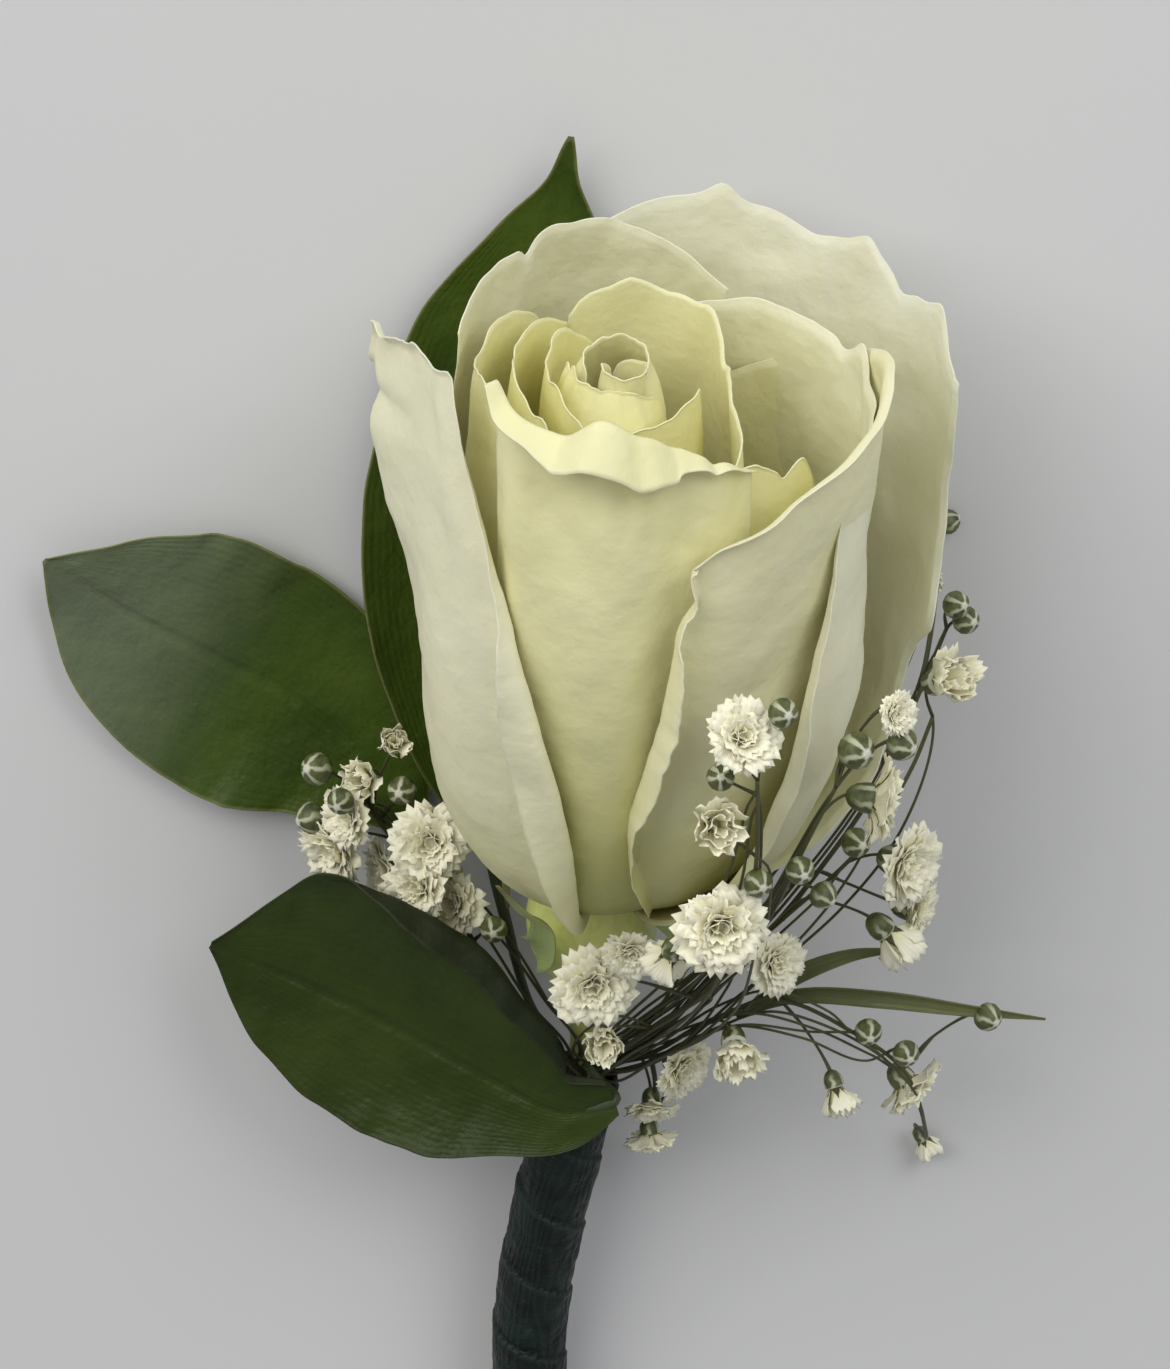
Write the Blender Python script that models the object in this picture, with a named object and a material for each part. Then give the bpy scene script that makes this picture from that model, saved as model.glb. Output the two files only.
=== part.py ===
"""Rose boutonniere, lying on its back as picked up from a table.

One half-open rose, three broad leaves, four sprigs of baby's breath and a
tape-wrapped handle.  Every length below is in millimetres; +Y runs from the
cut end of the handle to the flower, +Z is up, and z = 0 is the table.
"""
import math
import random

import bpy
import numpy as np
from mathutils import Matrix

# ---------------------------------------------------------------- driving sizes
MM = 0.001
BLOOM_BASE = (2.0, 19.0, 17.0)      # top of the rose hip
BLOOM_TILT = 15.0                   # degrees the flower's axis rises from the table
PETAL_THICK = 0.65
LEAF_THICK = 0.65
HIP_LENGTH = 14.5
HIP_RADIUS = 6.3
STEM_RADIUS = 1.6                   # the rose's own stem
WISP_RADIUS = 0.38                  # stems of leaves and sprigs inside the tape
PEDICEL_RADIUS = 0.33
TAPE_BORE = 3.15
TAPE_OUTER = 3.6
TAPE_STEP = 0.25                    # how far each turn of tape stands over the last
TAPE_TURN = 8.5                     # length of handle one turn covers
GAP = 0.3                           # air between neighbouring pieces
WISP_CIRCLE = 2.2                   # the small stems stand on this circle in the tape
STEM_DROP = 1.1                    # the rose stem lies this far below the tape's middle

FOOTPRINT_MIDDLE = (-3.618, 13.527, 0)   # moved to the origin once all is built

# handle centre line, from the cut end to the flower
HANDLE = [(0.3, -57.0, 3.6), (0.7, -45.0, 5.0), (0.2, -36.0, 6.2),
          (0.5, -27.0, 7.4), (1.6, -16.0, 9.1), (2.6, -6.0, 10.6)]

# Petals.  Azimuth 0 faces up from the table, +90 is the right side, 180 the table.
# left/right: azimuth of the two margins at four heights; belly/neck/rim: distance
# from the flower's axis at five places from the left margin to the right one.
PETALS = {
    "outer_right": dict(
        left=[175, 190, 200, 204], right=[70, 92, 98, 106],
        belly=[20.5, 25, 24.6, 25.5, 26], neck=[21, 24, 25, 26.5, 27.5],
        rim=[21, 24, 26, 27, 27.5], height=[53, 57, 57, 56, 52.5],
        lip=([1, 1.5, 1.5, 2, 1], [40, 60, 60, 60, 40]),
        right_roll=([0.3, 1.5, 1.5, 1.5, 1], [30, 50, 40, 60, 60])),
    "back_left": dict(
        left=[-125, -112, -105, -108], right=[-200, -195, -195, -200],
        belly=[18, 20, 21, 21, 20], neck=[18, 20, 21, 20.5, 19],
        rim=[18, 19.5, 20.5, 19.5, 17.5], height=[53, 56, 57, 56.5, 53.5],
        lip=([1, 1, 1, 1, 1], [20, 40, 50, 40, 20])),
    "right": dict(
        left=[165, 175, 178, 178], right=[25, 38, 47, 60],
        belly=[16, 18, 20, 21.6, 22.6], neck=[15, 17, 19, 21, 22.2],
        rim=[14, 16.5, 18.2, 20, 20.4], height=[52, 54, 54.5, 54, 50],
        lip=([1, 1.5, 1.5, 1.5, 1], [30, 50, 60, 60, 30]),
        right_roll=([0.3, 1, 2.2, 1.6, 1], [30, 50, 90, 60, 30])),
    "front_right": dict(
        left=[40, 11, 13, 14], right=[110, 125, 150, 156],
        belly=[18.5, 20.4, 19.8, 19.4, 16], neck=[20.5, 20.8, 19.8, 19, 15.5],
        rim=[20.7, 21, 19.7, 18.3, 14.5], height=[49, 56, 58, 52.5, 46],
        lip=([1, 1.5, 1.5, 1.5, 1], [90, 80, 80, 50, 30]),
        left_roll=([0.3, 2, 4.2, 4.4, 1.2], [40, 80, 115, 110, 70])),
    "front": dict(
        left=[-35, -32, -38, -44], right=[40, 38, 36, 34],
        belly=[18, 19.4, 20, 19, 17], neck=[18.6, 19.9, 20.3, 19.5, 17],
        rim=[18.5, 18.5, 18, 17.5, 16.5], height=[60.5, 59.3, 60.3, 58.5, 55.5],
        lip=([2, 4.5, 6, 5.5, 1.5], [100, 160, 180, 180, 100])),
    "left": dict(
        left=[-110, -135, -118, -100], right=[-8, -11, -34, -74],
        belly=[17, 18.5, 18.8, 20, 20.9], neck=[24.6, 23.6, 20.8, 19.9, 20.1],
        rim=[24.6, 22, 20.4, 19.6, 19.2], height=[53.5, 55, 56.5, 57.5, 58.5],
        lip=([2, 2, 1.5, 1, 1], [60, 50, 40, 30, 30]),
        left_roll=([0.2, 0.2, 0.2, 1, 2.5, 2], [10, 10, 20, 40, 60, 60]),
        right_roll=([0.3, 3.8, 4.6, 1.6, 0.5], [30, 120, 165, 80, 30])),
    "cup": dict(
        left=[50, 50, 45, 32], right=[210, 212, 214, 215],
        belly=[13, 12, 13, 14, 14], neck=[13.8, 8.4, 9.6, 13.2, 13.5],
        rim=[13.4, 7, 7.4, 12.4, 13.6], height=[53, 54.5, 54, 55.6, 55.6]),
    "inner_left_1": dict(
        left=[-150, -148, -146, -142], right=[-40, -42, -46, -48],
        belly=[15.5, 15.5, 15.5, 16, 16], rim=[16.5, 15.8, 15.2, 15.4, 16.2],
        height=[54, 54.5, 54.5, 56, 57.5]),
    "inner_left_2": dict(
        left=[-160, -158, -156, -152], right=[-30, -32, -34, -36],
        belly=[12.5, 12.5, 12.5, 13, 14], rim=[14, 13, 12.2, 12.6, 14],
        height=[54, 54.5, 55, 56, 57]),
    "inner_left_3": dict(
        left=[-170, -168, -166, -162], right=[-22, -22, -24, -24],
        belly=[9.5, 9.5, 9.5, 10, 11], rim=[11.5, 10, 9.2, 9.8, 12],
        height=[54.5, 55, 55, 56, 56.5]),
    "inner_front": dict(
        left=[20, 24, 28, 28], right=[62, 64, 66, 66],
        belly=[17, 17, 17, 17, 17.4], rim=[15, 15.2, 15.6, 16, 16.4], height=[54.4, 54.4, 53.6, 54, 52]),
    "inner_right": dict(
        left=[-40, -40, -40, -40], right=[110, 110, 105, 100], centre=(-2.4, 0.6),
        belly=[8.4, 8.4, 8.4, 8.4, 8], rim=[7, 6.8, 6.6, 6.6, 7.2], height=[51.5, 52.6, 54.2, 55.2, 52]),
    "heart_1": dict(
        left=[-104, -104, -104, -108], right=[84, 84, 84, 90], centre=(-3.2, 1.2),
        belly=[5.8, 6, 6, 6, 5.8], neck=[5.8, 5.7, 5.6, 5.7, 5.6],
        rim=[4.6, 3.2, 2.3, 3, 4.2], height=[54.6, 55.2, 55.2, 54.8, 54]),
    "heart_2": dict(
        left=[70, 70, 70, 70], right=[286, 286, 286, 286], centre=(-3.2, 1.2),
        belly=[5.2, 5.2, 5.2, 5.2, 5.2], neck=[4.8, 5.3, 5.5, 5.3, 4.8],
        rim=[2.4, 3.2, 3.7, 3.2, 2.4], height=[55, 56.6, 57.2, 56.6, 55]),
    "heart_bud": dict(
        left=[-150, -150, -150, -150], right=[185, 185, 185, 185], centre=(-3.2, 1.2),
        belly=[3.6, 3.6, 3.6, 3.6, 3.6], neck=[3.4, 3.4, 3.4, 3.4, 3.4],
        rim=[1, 1, 1, 1, 1], height=[55, 55.8, 56, 55.8, 55]),
}
PETAL_FOOT = (3.6, 1.1)             # radius and height where every petal starts
PROFILE = [0, 0.08, 0.22, 0.5, 0.8, 1]   # where a petal's outline is fixed, foot to rim

# Leaves: centre line from the petiole's end to the tip, half width on each side,
# how far the blade is turned about that line and how much it is cupped (degrees).
LEAVES = {
    "leaf_left": dict(
        spine=[(-15, 14, 2.4), (-21, 20.5, 1.1), (-28, 25.5, 0.5), (-36, 29, 0.4),
               (-44, 32.5, 1), (-49.5, 36, 2.4), (-53.3, 38.8, 4)],
        stalk=[(-4, -1, 10), (-9, 4.5, 7.4), (-12.5, 9.5, 4.6)], seat=153,
        left=[0.6, 7.5, 12, 13.2, 12, 7.6, 0.3], right=[0.6, 6, 10.8, 13, 13, 9.4, 0.3],
        turn=[0], cup_left=[10, 20, 22, 20, 20, 16, 10], cup_right=[4, 6, 10, 14, 18, 16, 10],
        fold=[0]),
    "leaf_back": dict(
        spine=[(-8.5, 13.5, 4.6), (-10.5, 22, 2.8), (-12, 34, 0.9), (-12.3, 46, 0.3),
               (-11.5, 58, 0.6), (-9.8, 69, 1.4), (-8.2, 78, 2.6), (-7.5, 85.5, 4.6)],
        stalk=[(-3, 0, 9.2), (-6, 7, 7)], seat=185,
        left=[0.6, 6.6, 10.6, 12, 11.6, 10, 5, 0.3], right=[0.6, 5, 8, 9, 9.4, 9, 5.4, 0.3],
        turn=[0], cup_left=[20, 40, 46, 40, 34, 26, 20, 10], cup_right=[8, 8, 6, 6, 8, 10, 10, 6],
        fold=[0]),
    "leaf_front": dict(
        spine=[(5.8, -7.2, 18), (1.5, -7.2, 18), (-6, -5, 16.2), (-14, -2.2, 14.2),
               (-22, 0.2, 12.4), (-29, 2, 11), (-34.3, 3.6, 10.6)],
        stalk=[(3.2, -3.2, 15.2), (5.8, -3.4, 17.2)], seat=90,
        left=[0.8, 5, 9.5, 11.5, 11, 7.5, 0.3], right=[1, 8, 14.5, 18, 18, 13, 0.3],
        turn=[0, 3, 8, 10, 9, 6, 3], cup_left=[20, 30, 30, 26, 22, 16, 10],
        cup_right=[20, 26, 26, 24, 20, 16, 10], fold=[110, 110, 90, 50, 20, 0, 0]),
}

# Baby's breath: stem of each sprig from the tape outwards, then its heads as
# (x, y, z, size, kind); kinds are open, bell and bud.
SPRIGS = {
    "sprig_left": dict(seat=122, face=(-0.25, -0.15, 0.8), stems=[
        [(-3, 0, 13.2), (-8, 6, 12.4), (-12.5, 11.5, 11), (-17, 16.5, 9.6), (-20.5, 19.5, 9)]],
        heads=[(-21, 22.5, 10.5, 2.7, "bell"), (-22.3, 19, 12, 3.1, "open"),
               (-23.6, 14.4, 10, 3.8, "open"), (-14, 18.4, 14.6, 3.8, "open"),
               (-18.6, 12, 8.4, 3.3, "open"), (-15, 13.8, 15, 3.5, "open"),
               (-11.6, 11.6, 13, 3.5, "open"), (-25.6, 23, 10.4, 1.7, "bud"),
               (-18.4, 26, 9.6, 2.1, "bell"), (-22.8, 21.6, 14.4, 1.4, "bud"),
               (-25.8, 17.4, 9.4, 1.7, "bud"), (-17.2, 22.6, 12.6, 1.5, "bud"),
               (-7.2, 10.6, 15.6, 1.4, "bud")]),
    "sprig_front": dict(seat=58, face=(0.55, -0.2, 0.8), stems=[
        [(7.2, 0.6, 15.8), (9.8, 4.6, 19), (12.8, 9.4, 22.8), (14.6, 15.8, 29), (15.6, 24.6, 37.2),
         (15.4, 35.2, 44.8), (14.6, 42.4, 47.8)],
        [(12.6, 9, 22.6), (16, 16, 27.4), (18.4, 25, 33.8), (20, 34, 40), (21.6, 40.6, 43.4)]],
        heads=[(13, 47.2, 49.8, 3.3, "open"), (11.6, 37.4, 46.8, 3, "bell"),
               (13.2, 25.6, 42.6, 4.2, "open"), (9.2, 22, 39.6, 3, "open"),
               (4.2, 4.2, 23.8, 2.8, "bell"), (2.8, 12, 29, 3.8, "open"), (5.7, 16.6, 30.6, 2.5, "open"),
               (16, 50, 50.6, 1.4, "bud"), (11.4, 42.6, 48.4, 1.3, "bud"),
               (23, 44.8, 44.6, 1.8, "bud"), (19.6, 31.6, 41.6, 1.4, "bud"),
               (16, 30.6, 43, 1.4, "bud"), (22.2, 27.4, 37, 1.4, "bud"),
               (27, 45, 42.6, 1.6, "bud"), (26, 48.4, 44, 2.1, "open"),
               (26.2, 37.6, 38, 3.7, "open")]),
    "sprig_side": dict(seat=27, face=(0.6, -0.1, 0.6), stems=[
        [(8.6, -0.8, 13.6), (13.6, 8, 17), (19.6, 17, 20.4), (26, 26, 22), (29.6, 34, 21.6),
         (31, 39, 20.6)],
        [(19.6, 17, 20.4), (27, 30, 17), (30, 39, 14.6), (31.6, 45.6, 15)],
        [(30, 39, 14.6), (30.8, 43.5, 8), (31, 48.6, 2.6)]],
        heads=[(30.4, 25.6, 24.6, 4, "open"), (29.6, 17.6, 22.6, 3.3, "bell"),
               (32.4, 18.4, 18.4, 3.3, "open"), (31.4, 43.4, 22.4, 3.3, "bell"),
               (32, 49.4, 18.6, 1.4, "bud"), (33.2, 47.4, 17, 1.4, "bud"),
               (31.6, 51.2, 1.2, 1.3, "bud"), (30.4, 46.4, 3, 1.9, "open"),
               (25.2, 28.2, 26.4, 1.5, "bud"), (19.6, 13.8, 23.4, 2.9, "open")]),
    "sprig_low": dict(seat=-5, face=(0.2, -0.45, 0.6), stems=[
        [(9, -2.8, 11.2), (14.4, 2.6, 13.6), (21, 7, 17), (28, 4.6, 17.4), (33, 0.6, 15.6),
         (35.6, -5, 13), (36.8, -9.6, 9.6)],
        [(9, -2.8, 11.2), (9.8, -6, 10.8), (10, -10.4, 9.6)]],
        heads=[(16.8, 2.6, 19.6, 3.3, "bell"),
               (12.4, -3.2, 13.6, 3.1, "open"), (27, -1.6, 18, 2.6, "bell"),
               (34.4, -3, 12.6, 3.4, "open"), (37.4, -14, 1.7, 2.1, "bell"),
               (9.8, -9, 11.2, 2.6, "open"), (10, -13.4, 8.8, 2.6, "open"),
               (29, 6.4, 20.6, 1.4, "bud"), (33, 3.6, 18.6, 1.4, "bud"),
               (40.6, 6.6, 15, 1.5, "bud")],
        blades=[[(16.6, 4, 14.6), (22, 7.8, 17), (30, 8.4, 17), (38.4, 7.4, 15.4), (46.2, 6.1, 13)],
                [(17.6, 4.8, 15.4), (21.6, 10.6, 18.4), (26.4, 13.8, 19.6), (31.4, 14.4, 18.6)]]),
}


# ---------------------------------------------------------------- small helpers
def spline(xs, ys, x):
    """Smooth curve through the keys (xs, ys), read at x."""
    xs, ys, x = (np.asarray(q, float) for q in (xs, ys, x))
    slope = np.diff(ys) / np.diff(xs)
    m = np.concatenate([slope[:1], (slope[:-1] + slope[1:]) / 2, slope[-1:]])
    i = np.clip(np.searchsorted(xs, x, side="right") - 1, 0, len(xs) - 2)
    w = xs[i + 1] - xs[i]
    t = np.clip((x - xs[i]) / w, 0, 1)
    a = (2 * t**3 - 3 * t**2 + 1) * ys[i] + (t**3 - 2 * t**2 + t) * w * m[i]
    return a + (3 * t**2 - 2 * t**3) * ys[i + 1] + (t**3 - t**2) * w * m[i + 1]


def along(values, x, low=0.0):
    """Keys spread evenly from low to 1, read at x."""
    if len(values) == 1:
        return values[0] + 0 * np.asarray(x, float)
    return spline(np.linspace(low, 1, len(values)), values, x)


def curve(points, t):
    """Points on the smooth line through the given ones, spaced by length."""
    p = np.asarray(points, float)
    d = np.concatenate([[0], np.cumsum(np.linalg.norm(np.diff(p, axis=0), axis=1))])
    return np.stack([spline(d / d[-1], p[:, k], t) for k in range(3)], -1)


def unit(v):
    return v / np.linalg.norm(v, axis=-1, keepdims=True)


def frames(points):
    """Direction, level side and upward side of a line at each of its points."""
    d = unit(np.gradient(points, axis=0))
    side = unit(np.cross(d, [0, 0, 1.0]))
    return d, side, np.cross(side, d)


def bloom_axes():
    t = math.radians(BLOOM_TILT)
    right = np.array([1.0, 0, 0])
    front = np.array([0, -math.sin(t), math.cos(t)])
    axis = np.array([0, math.cos(t), math.sin(t)])
    return right, front, axis


def from_bloom(g):
    """Flower coordinates (right, front, along the axis) to the part's frame."""
    right, front, axis = bloom_axes()
    return np.array(BLOOM_BASE) + g[..., :1] * right + g[..., 1:2] * front + g[..., 2:3] * axis


# ---------------------------------------------------------------- closed solids
def solid(name, points, faces, mat):
    mesh = bpy.data.meshes.new(name)
    mesh.from_pydata([tuple(p) for p in np.asarray(points) * MM], [], faces)
    mesh.materials.append(mat)
    mesh.update()
    obj = bpy.data.objects.new(name, mesh)
    bpy.context.scene.collection.objects.link(obj)
    return obj


def grid_faces(rows, cols, start=0, wrap=False, flip=False):
    faces = []
    for i in range(rows - 1):
        for j in range(cols if wrap else cols - 1):
            k = (j + 1) % cols
            q = [start + i * cols + j, start + i * cols + k,
                 start + (i + 1) * cols + k, start + (i + 1) * cols + j]
            if flip:
                faces += [(q[0], q[2], q[1]), (q[0], q[3], q[2])]
            else:
                faces += [(q[0], q[1], q[2]), (q[0], q[2], q[3])]
    return faces


def sheet(name, grid, thick, mat):
    """A blade of even thickness on a grid of points, closed round its edge."""
    du, dv = np.gradient(grid, axis=0), np.gradient(grid, axis=1)
    normal = unit(np.cross(du, dv))
    rows, cols = grid.shape[:2]
    top = (grid + normal * thick / 2).reshape(-1, 3)
    under = (grid - normal * thick / 2).reshape(-1, 3)
    faces = grid_faces(rows, cols, 0, flip=True)
    faces += grid_faces(rows, cols, rows * cols)
    ring = [j for j in range(cols)] + [i * cols + cols - 1 for i in range(1, rows)]
    ring += [(rows - 1) * cols + j for j in range(cols - 2, -1, -1)]
    ring += [i * cols for i in range(rows - 2, 0, -1)]
    n = rows * cols
    for a, b in zip(ring, ring[1:] + ring[:1]):
        faces += [(a, b, n + b), (a, n + b, n + a)]
    return solid(name, np.concatenate([top, under]), faces, mat)


def rod(name, points, radii, sides, mat):
    """A round rod along a line, closed at both ends."""
    _, side, up = frames(points)
    ang = np.linspace(0, 2 * math.pi, sides, endpoint=False)
    r = np.broadcast_to(radii, (len(points),))[:, None, None]
    ring = points[:, None] + r * (np.cos(ang)[None, :, None] * side[:, None]
                                  + np.sin(ang)[None, :, None] * up[:, None])
    n = len(points) * sides
    faces = grid_faces(len(points), sides, wrap=True, flip=True)
    for j in range(sides):
        k = (j + 1) % sides
        faces += [(n, j, k), (n + 1, n - sides + k, n - sides + j)]
    pts = np.concatenate([ring.reshape(-1, 3), points[:1], points[-1:]])
    return solid(name, pts, faces, mat)


def lathe(name, profile, sides, mat):
    """A solid turned about the flower's axis; profile is (height, radius)."""
    line = np.array([(0, 0, h) for h, _ in profile], float)
    ang = np.linspace(0, 2 * math.pi, sides, endpoint=False)
    rings = [np.stack([r * np.sin(ang), r * np.cos(ang), h + 0 * ang], -1) for h, r in profile]
    n = len(profile) * sides
    faces = grid_faces(len(profile), sides, wrap=True)
    for j in range(sides):
        k = (j + 1) % sides
        faces += [(n, k, j), (n + 1, n - sides + j, n - sides + k)]
    pts = np.concatenate([np.concatenate(rings), line[:1], line[-1:]])
    return solid(name, from_bloom(pts), faces, mat)


def baked(obj):
    """The object's modifiers worked into its mesh."""
    graph = bpy.context.evaluated_depsgraph_get()
    mesh = bpy.data.meshes.new_from_object(obj.evaluated_get(graph))
    obj.modifiers.clear()
    obj.data = mesh
    return obj


def fuse(name, pieces, trim_at_table=False):
    """One Boolean union of all the pieces; scraps left loose are dropped."""
    base, rest = pieces[0], pieces[1:]
    base.name = name
    base.data.name = name
    group = bpy.data.collections.new(name + "_pieces")
    bpy.context.scene.collection.children.link(group)
    for piece in rest:
        bpy.context.scene.collection.objects.unlink(piece)
        group.objects.link(piece)
    if rest:
        union = base.modifiers.new("union", "BOOLEAN")
        union.operation = "UNION"
        union.operand_type = "COLLECTION"
        union.collection = group
        union.solver = "MANIFOLD"
        baked(base)
        for piece in rest:
            bpy.data.objects.remove(piece)
    bpy.data.collections.remove(group)
    if trim_at_table:
        block = solid("table_cut", TABLE_BOX, BOX_FACES, base.data.materials[0])
        cut = base.modifiers.new("table", "BOOLEAN")
        cut.operation = "DIFFERENCE"
        cut.object = block
        cut.solver = "MANIFOLD"
        baked(base)
        bpy.data.objects.remove(block)
    keep_main_body(base)
    return base


TABLE_BOX = [(x, y, z) for x in (-200, 200) for y in (-200, 200) for z in (-50, 0)]
BOX_FACES = [(0, 1, 3, 2), (4, 6, 7, 5), (0, 4, 5, 1), (2, 3, 7, 6), (0, 2, 6, 4), (1, 5, 7, 3)]


def keep_main_body(obj):
    """Drop loose scraps and fill sealed hollows: only the largest shell stays."""
    mesh = obj.data
    parent = list(range(len(mesh.vertices)))

    def root(i):
        while parent[i] != i:
            parent[i] = parent[parent[i]]
            i = parent[i]
        return i

    for e in mesh.edges:
        a, b = (root(v) for v in e.vertices)
        parent[a] = b
    pts = np.array([v.co[:] for v in mesh.vertices])
    group = np.array([root(i) for i in range(len(pts))])
    size = {g: float(np.prod(np.ptp(pts[group == g], axis=0))) for g in set(group.tolist())}
    main = max(size, key=size.get)
    if len(size) > 1:
        keep = group == main
        index = np.cumsum(keep) - 1
        faces = [[int(index[v]) for v in f.vertices] for f in mesh.polygons if keep[f.vertices[0]]]
        fresh = bpy.data.meshes.new(mesh.name)
        fresh.from_pydata([tuple(p) for p in pts[keep]], [], faces)
        fresh.materials.append(mesh.materials[0])
        obj.data = fresh
    count = sum(len(f.vertices) - 2 for f in obj.data.polygons)
    print(obj.name, "shells", len(size), "triangles", count)


def material(name, colour, rough):
    mat = bpy.data.materials.new(name)
    mat.use_nodes = True
    shader = mat.node_tree.nodes["Principled BSDF"]
    shader.inputs["Base Color"].default_value = (*colour, 1)
    shader.inputs["Roughness"].default_value = rough
    mat.diffuse_color = (*colour, 1)
    return mat


# ---------------------------------------------------------------- petals
def curl(g, length, angle, rows):
    """Carry the last column of the grid on as a margin curling outwards."""
    t = unit(g[:, -1] - g[:, -2])
    out = unit(np.cross(np.gradient(g[:, -1], axis=0), t))
    radial = g[:, -1] * [1, 1, 0]
    out = out * np.sign(np.sum(out * radial, axis=1).mean())
    ang = np.radians(np.maximum(angle, 3.0))[:, None]
    rho = np.maximum(length, 0.15)[:, None] / ang
    new = [g]
    for k in range(1, rows + 1):
        q = ang * k / rows
        new.append((g[:, -1] + rho * (np.sin(q) * t + (1 - np.cos(q)) * out))[:, None])
    return np.concatenate(new, 1)


def petal_grid(p, across, up, roll_rows):
    u = np.linspace(-1, 1, across + 1)[:, None]
    v = np.linspace(0, 1, up + 1)[None, :]
    keys = [0, 0.35, 0.7, 1]
    left, right = spline(keys, p["left"], v), spline(keys, p["right"], v)
    az = np.radians(left + (right - left) * (u + 1) / 2)
    foot, base = PETAL_FOOT
    rise = spline(PROFILE, [0, 0.02, 0.16, 0.47, 0.8, 1], v)
    h = base + (along(p["height"], u, -1) - base) * rise
    belly, rim = along(p["belly"], u, -1), along(p["rim"], u, -1)
    neck = along(p["neck"], u, -1) if "neck" in p else (belly + rim) / 2
    rows = [foot + (belly - foot) * k for k in (0, 0.36, 0.76, 1)] + [neck, rim]
    r = np.array([spline(PROFILE, [q[i, 0] for q in rows], v[0]) for i in range(across + 1)])
    cx, cy = p.get("centre", (0, 0))
    g = np.stack([cx * v**0.5 + r * np.sin(az), cy * v**0.5 + r * np.cos(az), h + 0 * az], -1)
    if "left_roll" in p:
        q = np.flip(g, 0).transpose(1, 0, 2)
        q = curl(q, *(along(k, v[0]) for k in p["left_roll"]), roll_rows)
        g = np.flip(q.transpose(1, 0, 2), 0)
    if "right_roll" in p:
        q = curl(g.transpose(1, 0, 2), *(along(k, v[0]) for k in p["right_roll"]), roll_rows)
        g = q.transpose(1, 0, 2)
    if "lip" in p:
        w = np.linspace(0, 1, g.shape[0])
        g = curl(g, *(along(k, w) for k in p["lip"]), roll_rows)
    return g


def build_petals(mat):
    core = [(0.4, 4.6), (2.5, 7), (6, 7.6), (12, 7), (20, 5), (30, 2.5)]
    pieces = [lathe("core", core, 10, mat)]
    for name, p in PETALS.items():
        small = "lip" not in p
        grid = petal_grid(p, 5 if small else 7, 4 if small else 6, 2)
        pieces.append(sheet("petal_" + name, from_bloom(grid), PETAL_THICK, mat))
    return fuse("rose_petals", pieces, trim_at_table=True)


# ---------------------------------------------------------------- stem, hip, sepals
def handle_point(t, angle=0.0, off=0.0):
    """A line inside the tape, off its middle by a distance in a direction."""
    p = curve(HANDLE, t)
    _, side, up = frames(p)
    a = math.radians(angle)
    return p + off * (math.cos(a) * side + math.sin(a) * up)


def in_the_tape(angle, off, start):
    """From just past the handle's cut end to just past the top of the tape."""
    inside = handle_point(np.array([0, 0.2, 0.4, 0.6, 0.8, 0.93, 1]), angle, off)
    first = inside[0] + start * unit(inside[0] - inside[1])
    last = inside[-1] + 1.6 * unit(inside[-1] - inside[-2])
    return np.concatenate([[first], inside, [last]])


def stem_line(inside, points, n):
    """Five points in the tape, then n outside it, on one smooth line."""
    path = np.concatenate([inside, np.asarray(points, float)])
    d = np.concatenate([[0], np.cumsum(np.linalg.norm(np.diff(path, axis=0), axis=1))])
    split = d[len(inside) - 1] / d[-1]
    return curve(path, np.concatenate([np.linspace(0, split, 5)[:-1], np.linspace(split, 1, n)]))


def build_stem(mat):
    inside = in_the_tape(-90, STEM_DROP, 1.5)
    axis = bloom_axes()[2]
    base = np.array(BLOOM_BASE)
    top = base - axis * (HIP_LENGTH - 2)
    line = stem_line(inside, [top - axis * 3, top, base - axis * 4], 8)
    pieces = [rod("stem", line, STEM_RADIUS, 10, mat)]
    hip = [(-HIP_LENGTH, 1.5), (-HIP_LENGTH + 1.2, 3.1), (-10.6, 5.2), (-6.6, HIP_RADIUS),
           (-3, 5.9), (-GAP, 5.4)]
    pieces.append(lathe("hip", hip, 14, mat))
    # the long sepal that curls up over the petals, then four turned down
    curls = [[(-58, 5, -9), (-52, 7, -8), (-30, 9.4, -4.4), (-24, 11.4, 0.5), (-25, 15.4, 5),
              (-29, 18.4, 9.5)]]
    for az in (60, 125, 182, 232):
        curls.append([(az, 4.6, -1.4), (az + 2, 7.6, -1.8), (az + 4, 9.6, -4.4),
                      (az + 5, 10.2, -7.6), (az + 6, 9.6, -10.4)])
    for k, keys in enumerate(curls):
        n = 9 if k == 0 else 6
        q = np.array(keys, float)
        a = np.radians(q[:, 0])
        spine = curve(np.stack([q[:, 1] * np.sin(a), q[:, 1] * np.cos(a), q[:, 2]], -1),
                      np.linspace(0, 1, n))
        out = unit(spine * [1, 1, 0])
        across = unit(np.cross(np.gradient(spine, axis=0), out))
        half = along([1.6, 1.9, 1.3, 0.7, 0.35], np.linspace(0, 1, n))[:, None]
        grid = np.stack([spine - half * across, spine, spine + half * across], 1)
        grid[:, 1] -= 0.25 * out
        pieces.append(sheet("sepal_%d" % k, from_bloom(grid), 0.65, mat))
    return fuse("rose_stem", pieces, trim_at_table=True)


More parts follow.
